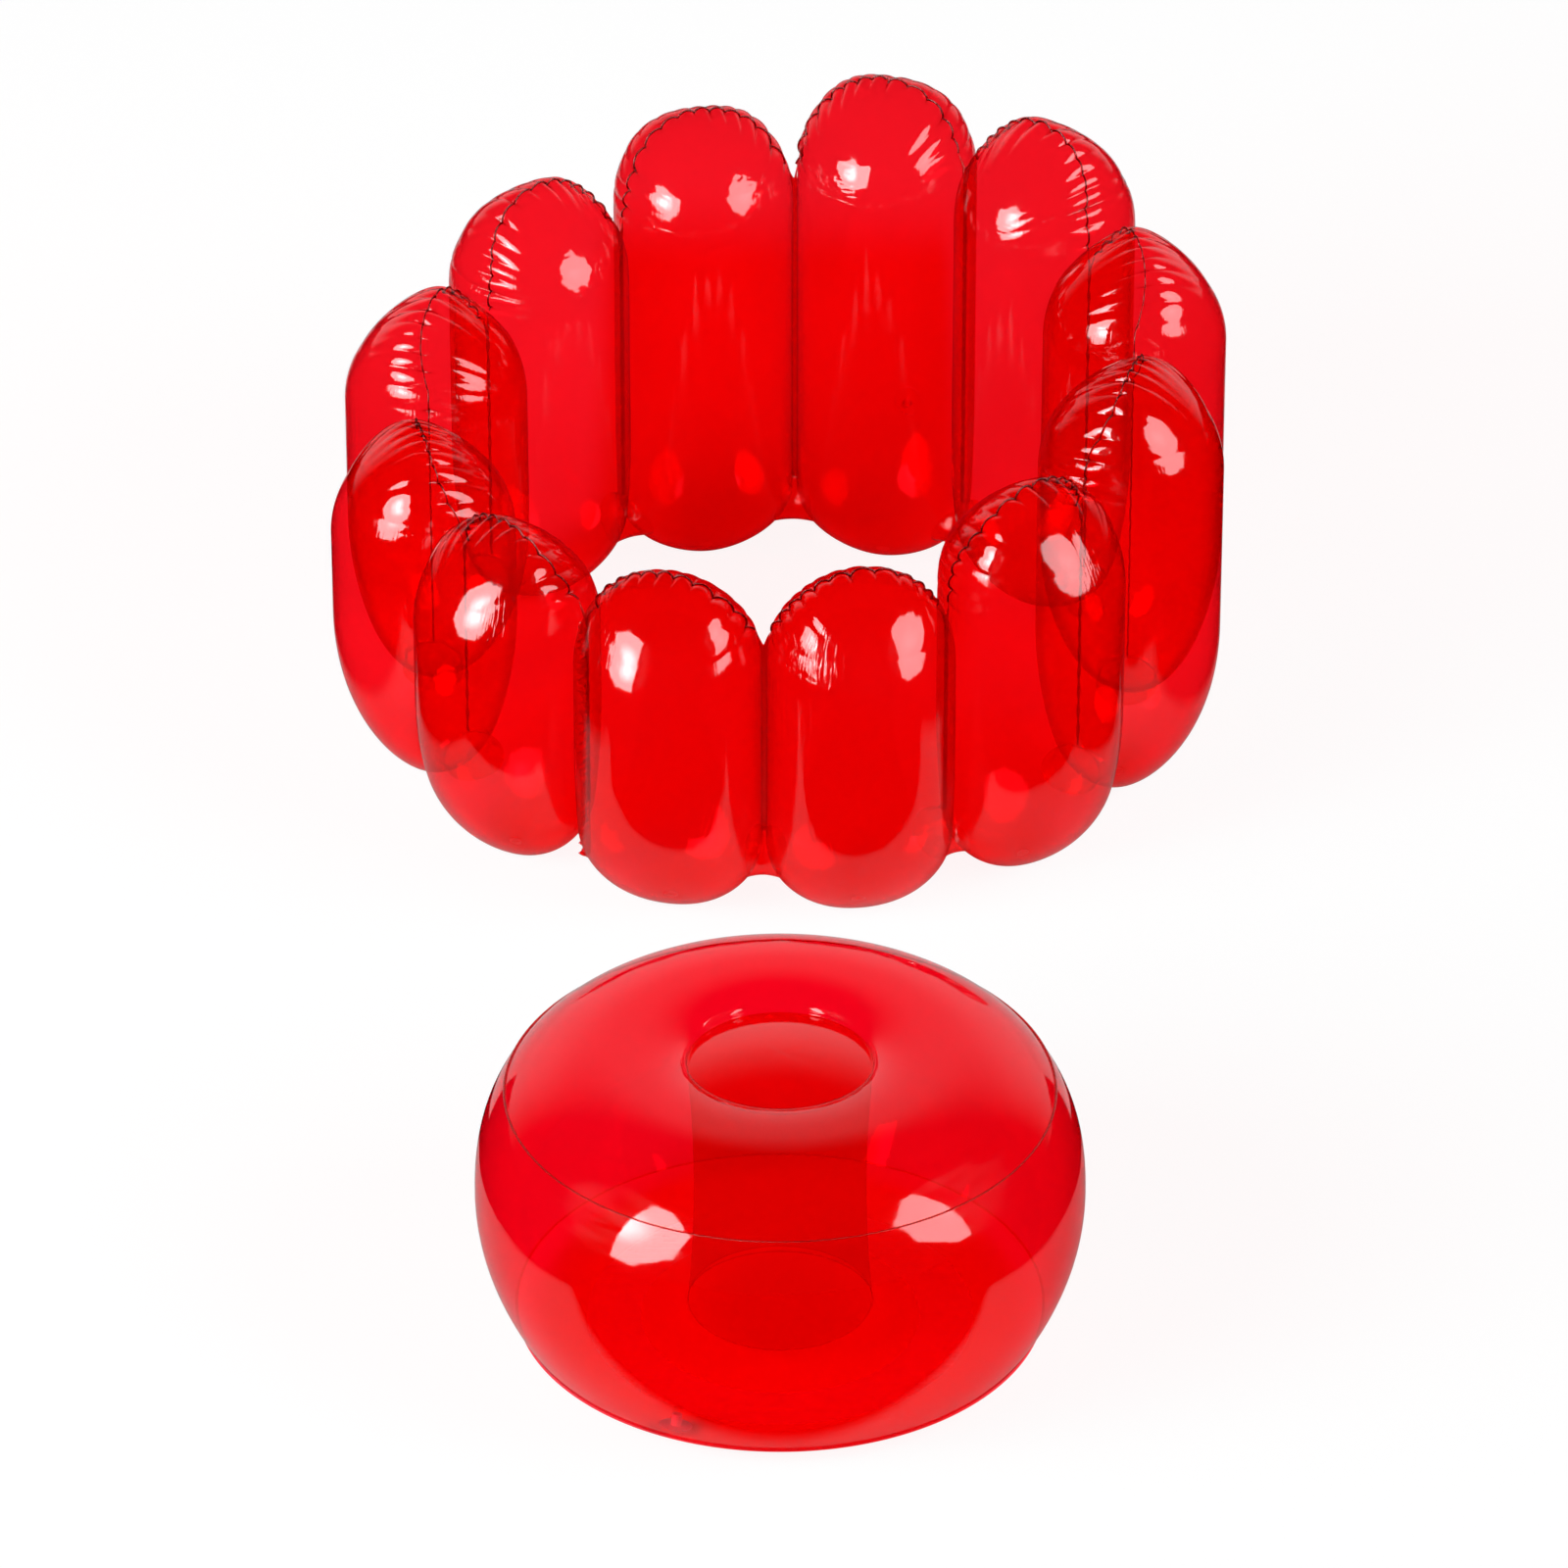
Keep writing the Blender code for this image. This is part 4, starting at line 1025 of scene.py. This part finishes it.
def flange_sheet(face):
    """One side of the crumpled flange, from the foot to the notch."""
    top = FRONT_HEIGHT - NOTCH_DROP
    points = []
    for share in [row / (FLANGE_ROWS - 1) for row in range(FLANGE_ROWS)]:
        height = FLANGE_LOW + (top - FLANGE_LOW) * share
        for out in [column / (FLANGE_COLUMNS - 1) for column in range(FLANGE_COLUMNS)]:
            fold = math.sin(height * FOLD_RATE + FOLD_WANDER * math.sin(height * FOLD_WANDER_RATE))
            fold += FINE_SHARE * math.sin(height * FINE_RATE + FINE_SLANT * out)
            side = FLANGE_FOLD * fold * out + face * FILM
            reach = FLANGE_WIDTH * out * (1 + RAGGED_SHARE * math.sin(height * RAGGED_RATE))
            points.append((side, reach - FLANGE_INSET, height))
    return placed(points, on_ring(0, WELD_RADIUS))


def make_closing_weld():
    """The flange's grid runs the other way round than a web's, so its faces are turned over."""
    points = np.concatenate([flange_sheet(-1), flange_sheet(1)])
    weld = add_mesh("closing_weld_flange", points, sheet_faces(FLANGE_ROWS, FLANGE_COLUMNS),
                    crumpled_film)
    weld.data.flip_normals()
    return finish_piece(weld, "ring", ["closing_weld"])


closing_weld = make_closing_weld()
make_web(0, TUBE_COUNT, 1, "closing_web_film", [])
print("closing weld faces", len(closing_weld.data.polygons))

# %% [markdown]
# ## Air passages
#
# Low down, the weld between two tubes stops and leaves a channel, so one valve fills the whole
# ring. Each channel is a short saddle whose two rims lie on the two tubes. Its rims are found by
# asking the tube's own rule how far its surface is from the plane between the tubes.

# %% Passages
PASSAGE_HALF_DEPTH = 0.036
PASSAGE_MIDDLE = (PASSAGE_LOW + PASSAGE_HIGH) / 2 - FOOT_CUT
PASSAGE_HALF_HEIGHT = (PASSAGE_HIGH - PASSAGE_LOW) / 2
PASSAGE_SIDES, PASSAGE_ROWS = 48, 9
PASSAGE_WAIST, CREASE_SHARE, CREASES = 0.10, 0.025, 9
NEAR_PLANE, NEAR_STEPS = (-1.2, 0.9), 240


def off_plane(along, height):
    """Distance from the plane between two tubes to a tube's surface."""
    angles = np.linspace(*NEAR_PLANE, NEAR_STEPS)
    width, swell = widths(np.array(height + FOOT_CUT), BACK_HEIGHT)
    full_x, full_y = TUBE_RADIUS * np.cos(angles), TUBE_RADIUS * np.sin(angles)
    x = width * full_x
    y = middle_y(x) + swell * (full_y - middle_y(full_x))
    cosine, sine = math.cos(HALF_STEP), math.sin(HALF_STEP)
    off = RING_RADIUS * sine - (x * cosine - y * sine)
    run = x * sine + (y + RING_RADIUS) * cosine - WELD_RADIUS
    order = np.argsort(run)
    return float(np.interp(along, run[order], off[order]))


def make_passage(number):
    points = []
    for row in range(PASSAGE_ROWS):
        share = 2 * row / (PASSAGE_ROWS - 1) - 1
        for turn in [2 * math.pi * side / PASSAGE_SIDES for side in range(PASSAGE_SIDES)]:
            waist = 1 - PASSAGE_WAIST * (1 - share * share)
            crease = 1 + CREASE_SHARE * math.sin(turn * CREASES + number) * (1 - share * share)
            along = PASSAGE_HALF_DEPTH * math.cos(turn) * waist * crease
            height = PASSAGE_MIDDLE + PASSAGE_HALF_HEIGHT * math.sin(turn) * waist * crease
            points.append((share * off_plane(along, height), along, height))
    cloud = placed(points, on_ring(2 * HALF_STEP * number, WELD_RADIUS))
    sleeve = add_mesh(f"air_passage_film_{number:02d}", cloud,
                      grid_faces(PASSAGE_ROWS, PASSAGE_SIDES).tolist(), small_film)
    return finish_piece(sleeve, "ring", [f"air_passage_{number:02d}"])


passages = [make_passage(number) for number in range(1, TUBE_COUNT)]
print("passages", len(passages))

# %% [markdown]
# ## The seat, turned from a profile
#
# The seat's sheets, its side band and its column are all surfaces of revolution, so one Geometry
# Nodes tree makes all four. It bends a flat grid around the axis: the grid's width becomes the
# turn, and its length reads the radius and the height from a profile curve.

# %% Turning tree
MERGE_DISTANCE = 0.00002


def painted(tree, geometry, film):
    """The end of each tree: real meshes in one film."""
    real = add_node(tree, "GeometryNodeRealizeInstances", None, Geometry=geometry)
    paint = add_node(tree, "GeometryNodeSetMaterial", None, Geometry=real.outputs[0], Material=film)
    return paint.outputs[0]


def split(tree, vector):
    return add_node(tree, "ShaderNodeSeparateXYZ", None, Vector=vector).outputs


def turning_tree():
    tree, given, result = new_group(
        "GeometryNodeTree", "turned_film", {"Profile": "Object", "Sides": "Int", "Rows": "Int",
                                            "Centre": "Vector", "Film": "Material"},
        {"Geometry": "Geometry"})
    grid = add_node(tree, "GeometryNodeMeshGrid", None, Size_X=1.0, Size_Y=1.0,
                    Vertices_X=given["Sides"], Vertices_Y=given["Rows"])
    flat = split(tree, add_node(tree, "GeometryNodeInputPosition").outputs[0])
    turn = maths(tree, "MULTIPLY", flat["X"], 2 * math.pi)
    profile = add_node(tree, "GeometryNodeObjectInfo", None, Object=given["Profile"])
    sample = add_node(tree, "GeometryNodeSampleCurve", {"mode": "FACTOR", "use_all_curves": True},
                      Curves=profile.outputs["Geometry"], Factor=maths(tree, "ADD", flat["Y"], 0.5))
    read = split(tree, sample.outputs["Position"])
    away = maths(tree, "MULTIPLY", read["X"], maths(tree, "COSINE", turn))
    spot = add_node(tree, "ShaderNodeCombineXYZ", None, Z=read["Z"],
                    X=maths(tree, "MULTIPLY", read["X"], maths(tree, "SINE", turn)),
                    Y=maths(tree, "MULTIPLY", away, -1.0))
    centred = vector_maths(tree, "ADD", spot.outputs[0], given["Centre"], result="Vector")
    store = add_node(tree, "GeometryNodeStoreNamedAttribute",
                     {"data_type": "FLOAT2", "domain": "CORNER"}, Geometry=grid.outputs["Mesh"],
                     Name="around_and_up", Value=grid.outputs["UV Map"])
    bend = add_node(tree, "GeometryNodeSetPosition", None, Geometry=store.outputs[0],
                    Position=centred)
    close = add_node(tree, "GeometryNodeMergeByDistance", None, Geometry=bend.outputs[0],
                     Distance=MERGE_DISTANCE)
    feed(tree, result["Geometry"], painted(tree, close.outputs[0], given["Film"]))
    return tree


TURNED = turning_tree()
print("turning tree", len(TURNED.nodes), "nodes")

# %% [markdown]
# ## From a tree to a plain piece
#
# A tree runs as a modifier on a seed mesh. Its inputs are set by the sockets' identifiers before
# the seed is first evaluated. The result is copied out as a plain mesh, and the seed and its
# modifier are removed, so the finished pieces carry no live tree.

# %% Growing a piece from a tree
def grown(name, tree, material, **values):
    """The plain mesh that a tree makes with these named inputs."""
    seed = add_mesh(name + "_seed", [(0, 0, 0)], [], material)
    modifier = seed.modifiers.new("grow", "NODES")
    modifier.node_group = tree
    for item in tree.interface.items_tree:
        if item.in_out == "INPUT" and item.name in values:
            modifier[item.identifier] = values[item.name]
    bpy.context.view_layer.update()
    shape = seed.evaluated_get(bpy.context.evaluated_depsgraph_get())
    mesh = bpy.data.meshes.new_from_object(shape)
    mesh.name = name
    piece = bpy.data.objects.new(name, mesh)
    bpy.context.scene.collection.objects.link(piece)
    bpy.data.objects.remove(seed)
    return piece


def path_curve(name, points, closed=False):
    data = bpy.data.curves.new(name, "CURVE")
    data.dimensions = "3D"
    spline = data.splines.new("POLY")
    spline.points.add(len(points) - 1)
    for spot, point in zip(spline.points, points):
        spot.co = (*point, 1)
    spline.use_cyclic_u = closed
    curve = bpy.data.objects.new(name, data)
    bpy.context.scene.collection.objects.link(curve)
    return curve


print("inputs of the turning tree",
      [item.name for item in TURNED.interface.items_tree if item.in_out == "INPUT"])

# %% [markdown]
# ## The seat's profiles
#
# The top sheet rises from its seam to a crest and falls into a crater, where it is welded to the
# column. Inside the weld the round end of the column bulges up again. The bottom sheet has the same
# middle, turned over, and is pressed flat on the floor. The side band tapers in below its widest
# level.

# %% Rules of the seat
SEAT_RADIUS, SEAT_HEIGHT, WIDEST_HEIGHT = 0.324, 0.340, 0.163
TOP_SEAM_RADIUS, LOW_SEAM_RADIUS = SEAT_RADIUS - 0.034, SEAT_RADIUS - 0.044
CREST_RADIUS, SHOULDER_POWER = 0.170, 2.35
FLOOR_RADIUS, LOW_SEAM_HEIGHT = 0.193, 0.019
COLUMN_RADIUS, COLUMN_WAIST = 0.0985, 0.93
CRATER_DEPTH, CRATER_POWER, DOME_RISE = 0.021, 2.6, 0.014
OUTER_ROWS, CRATER_ROWS, DOME_ROWS, BAND_ROWS, COLUMN_ROWS = 40, 50, 40, 90, 40


def oval_drop(share, power):
    """How far a rounded corner has fallen, from 0 at its start to 1 where it is upright."""
    return 1 - (1 - min(1.0, share) ** power) ** (1 / power)


def middle_drop(radius):
    """How far the dome and the crater lie below the crest."""
    if radius < COLUMN_RADIUS:
        return CRATER_DEPTH - DOME_RISE * (1 - (radius / COLUMN_RADIUS) ** 2)
    share = (CREST_RADIUS - radius) / (CREST_RADIUS - COLUMN_RADIUS)
    return CRATER_DEPTH * oval_drop(share, CRATER_POWER)


def top_height(radius):
    if radius < CREST_RADIUS:
        return SEAT_HEIGHT - middle_drop(radius)
    share = (radius - CREST_RADIUS) / (SEAT_RADIUS - CREST_RADIUS)
    return SEAT_HEIGHT - (SEAT_HEIGHT - WIDEST_HEIGHT) * oval_drop(share, SHOULDER_POWER)


def bottom_height(radius):
    if radius < CREST_RADIUS:
        return max(0.0, middle_drop(radius) - FOOT_CUT)
    share = max(0.0, radius - FLOOR_RADIUS) / (LOW_SEAM_RADIUS - FLOOR_RADIUS)
    return max(0.0, LOW_SEAM_HEIGHT * share * share - FOOT_CUT)


def sheet_radii(seam):
    """Circles of a sheet from its seam inwards, closer together by the weld circle."""
    outer = np.linspace(seam, CREST_RADIUS, OUTER_ROWS)
    wall = 1 - np.sin(np.linspace(0, math.pi / 2, CRATER_ROWS))
    crater = COLUMN_RADIUS + (CREST_RADIUS - COLUMN_RADIUS) * wall
    inner = COLUMN_RADIUS * np.cos(np.linspace(0, math.pi / 2, DOME_ROWS))[1:]
    return [*outer, *crater[1:], *inner[:-1], 0.0]


def band_radius(height, low):
    """The side band's radius: its lower part tapers in, its upper part follows the shoulder."""
    if height > WIDEST_HEIGHT:
        share = (height - WIDEST_HEIGHT) / (SEAT_HEIGHT - WIDEST_HEIGHT)
        across = 1 - oval_drop(share, SHOULDER_POWER)
        return CREST_RADIUS + (SEAT_RADIUS - CREST_RADIUS) * across
    share = (WIDEST_HEIGHT - height) / (WIDEST_HEIGHT - low)
    return SEAT_RADIUS - (SEAT_RADIUS - LOW_SEAM_RADIUS) * share ** 2


def column_point(share, low, high):
    waist = 1 - (1 - COLUMN_WAIST) * 4 * share * (1 - share)
    return COLUMN_RADIUS * waist, 0, low + (high - low) * share


BAND_LOW, BAND_HIGH = bottom_height(LOW_SEAM_RADIUS), top_height(TOP_SEAM_RADIUS)
COLUMN_LOW, COLUMN_HIGH = max(0.0, CRATER_DEPTH - FOOT_CUT), SEAT_HEIGHT - CRATER_DEPTH
top_profile = [(r, 0, top_height(r)) for r in sheet_radii(TOP_SEAM_RADIUS)]
bottom_profile = [(r, 0, bottom_height(r)) for r in reversed(sheet_radii(LOW_SEAM_RADIUS))]
band_profile = [(band_radius(height, BAND_LOW), 0, height)
                for height in np.linspace(BAND_LOW, BAND_HIGH, BAND_ROWS)]
column_profile = [column_point(share, COLUMN_LOW, COLUMN_HIGH)
                  for share in np.linspace(0, 1, COLUMN_ROWS)]
print("band from", round(BAND_LOW, 4), "to", round(BAND_HIGH, 4), "column from",
      round(COLUMN_LOW, 4), "to", round(COLUMN_HIGH, 4))

# %% [markdown]
# ## The seat's films
#
# The four profiles become four films. The bottom sheet and the column have finishes of their own,
# because they are seen through the films around them.

# %% Seat pieces
SEAT_SIDES = 193


def make_turned(name, profile, node, film):
    curve = path_curve(name + "_profile", profile)
    piece = grown(name, TURNED, film, Profile=curve, Sides=SEAT_SIDES, Rows=len(profile),
                  Centre=SEAT_CENTRE, Film=film)
    bpy.data.objects.remove(curve)
    return finish_piece(piece, "seat", [node])


seat_top = make_turned("seat_top_film", top_profile, "seat_top_sheet", seat_film)
seat_band = make_turned("seat_band_film", band_profile, "seat_side_band", seat_film)
seat_bottom = make_turned("seat_bottom_film", bottom_profile, "seat_bottom_sheet", under_film)
seat_column = make_turned("seat_column_film", column_profile, "seat_column", column_film)
print("seat faces", [len(p.data.polygons) for p in (seat_top, seat_band, seat_bottom, seat_column)])

# %% [markdown]
# ## Seams and welds as beads along a path
#
# The seat's seams and the column's welds are thin beads of doubled film. One tree sweeps a small
# oval along a given path. The oval's size is an input, so the same tree makes every bead.

# %% Bead tree
BEAD_SIDES = 8


def bead_tree():
    tree, given, result = new_group(
        "GeometryNodeTree", "film_bead", {"Path": "Object", "Width": "Float", "Height": "Float",
                                          "Film": "Material"}, {"Geometry": "Geometry"})
    path = add_node(tree, "GeometryNodeObjectInfo", None, Object=given["Path"])
    upright = add_node(tree, "GeometryNodeSetCurveNormal", {"mode": "Z_UP"},
                       Curve=path.outputs["Geometry"])
    oval = add_node(tree, "GeometryNodeCurvePrimitiveCircle", {"mode": "RADIUS"},
                    Resolution=BEAD_SIDES, Radius=0.5)
    size = add_node(tree, "ShaderNodeCombineXYZ", None, X=given["Width"], Y=given["Height"], Z=1.0)
    squash = add_node(tree, "GeometryNodeTransform", None, Geometry=oval.outputs["Curve"],
                      Scale=size.outputs[0])
    sweep = add_node(tree, "GeometryNodeCurveToMesh", None, Curve=upright.outputs[0],
                     Profile_Curve=squash.outputs[0], Fill_Caps=True)
    feed(tree, result["Geometry"], painted(tree, sweep.outputs[0], given["Film"]))
    return tree


BEAD = bead_tree()
print("bead tree", len(BEAD.nodes), "nodes")

# %% [markdown]
# ## The beads of the seat
#
# Each bead is a circle around the seat's middle. The two seams lie just outside their sheets' rims.
# Only the upper one is seen straight on, so it alone has the deeper weld finish.

# %% Seams and welds of the seat
BEAD_STEPS = 180
# Radius, height, width and thickness of each bead, and its film
BEADS = {
    "seat_top_seam": (TOP_SEAM_RADIUS + 0.0012, BAND_HIGH, 0.0025, 0.0012, weld_film),
    "seat_bottom_seam": (LOW_SEAM_RADIUS + 0.0014, BAND_LOW, 0.0028, 0.0014, inner_weld),
    "column_top_weld": (COLUMN_RADIUS, COLUMN_HIGH, 0.0016, 0.0010, inner_weld),
    "column_bottom_weld": (COLUMN_RADIUS, COLUMN_LOW, 0.0016, 0.0010, inner_weld)}


def make_bead(node, radius, height, width, thickness, film):
    angles = np.linspace(0, 2 * math.pi, BEAD_STEPS, endpoint=False)
    points = [SEAT_CENTRE + plan(radius, a) + Vector((0, 0, height)) for a in angles]
    curve = path_curve(node + "_path", points, closed=True)
    bead = grown(node + "_bead", BEAD, film, Path=curve, Width=width, Height=thickness, Film=film)
    bpy.data.objects.remove(curve)
    return finish_piece(bead, "seat", [node])


beads = [make_bead(node, *values) for node, values in BEADS.items()]
print("beads", [bead.name for bead in beads])

# %% [markdown]
# ## Valves
#
# The valves are small soft mouldings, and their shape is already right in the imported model. They
# keep it and get a paler clear finish than the film.

# %% Valve finish
valve_nodes = [node for name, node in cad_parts.items() if "valve" in name]
for node in valve_nodes:
    node.data.materials.clear()
    node.data.materials.append(valve_film)
print("valve pieces", len(valve_nodes))

# %% [markdown]
# ## Pockets for the valves
#
# Under each valve the film lies flat below the flange and is open for the stem, so the stopper can
# be pulled out without passing through film. A turned cutter takes both out of the film in one
# cut: the bulge under the flange and the hole. The valve's place and direction are read from the
# packed flap and body, whose middles lie on its axis.

# %% Pockets in the film
VALVE_FLANGE_RADIUS, VALVE_FLANGE, VALVE_STEM_RADIUS = 0.0165, 0.0008, 0.0050
VALVE_STEM_LENGTH, FLAP_THICKNESS = 0.020, 0.0005
POCKET_DEPTH, POCKET_MARGIN, POCKET_SIDES = 0.012, 0.001, 48
SHARP_ANGLE, SAME_SPOT_DIGITS = math.radians(35), 6
VALVE_TUBE = 7


def middle_of(name):
    """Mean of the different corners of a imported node, which for a turned shape is on its axis."""
    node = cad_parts[name]
    spots = {tuple(round(value, SAME_SPOT_DIGITS) for value in node.matrix_world @ corner.co)
             for corner in node.data.vertices}
    return sum((Vector(spot) for spot in spots), Vector()) / len(spots)


def pocket_tool(name):
    """What a valve takes out of its film: the bulge under its flange and a hole for its stem."""
    flap = middle_of(name + "_valve_flap")
    out = (middle_of(name + "_valve_body") - flap).normalized()
    face = flap + out * (VALVE_STEM_LENGTH - VALVE_FLANGE + FLAP_THICKNESS / 2)
    hole, rim = VALVE_STEM_RADIUS + CLEARANCE, VALVE_FLANGE_RADIUS + POCKET_MARGIN
    outline = [(hole, -POCKET_DEPTH), (hole, 0), (rim, 0), (rim, POCKET_DEPTH)]
    place = Matrix.Translation(face) @ out.to_track_quat("Z", "Y").to_matrix().to_4x4()
    turns = [2 * math.pi * side / POCKET_SIDES for side in range(POCKET_SIDES)]
    points = [place @ Vector((radius * math.cos(turn), radius * math.sin(turn), height))
              for radius, height in outline for turn in turns]
    faces = strip_faces(len(outline), POCKET_SIDES, 0)
    return add_mesh(name + "_pocket", points, faces, valve_film)


def open_for_valve(film, name):
    tool = pocket_tool(name)
    opening = film.modifiers.new("pocket", "BOOLEAN")
    opening.operation, opening.solver, opening.object = "DIFFERENCE", "EXACT", tool
    graph = bpy.context.evaluated_depsgraph_get()
    opened = bpy.data.meshes.new_from_object(film.evaluated_get(graph),
                                             preserve_all_data_layers=True, depsgraph=graph)
    film.modifiers.clear()
    film.data = opened
    opened.set_sharp_from_angle(angle=SHARP_ANGLE)
    bpy.data.objects.remove(tool)
    print(film.name, "opened for", name, "faces", len(opened.polygons))


open_for_valve(tubes[VALVE_TUBE - 1], "ring")
open_for_valve(seat_bottom, "seat")
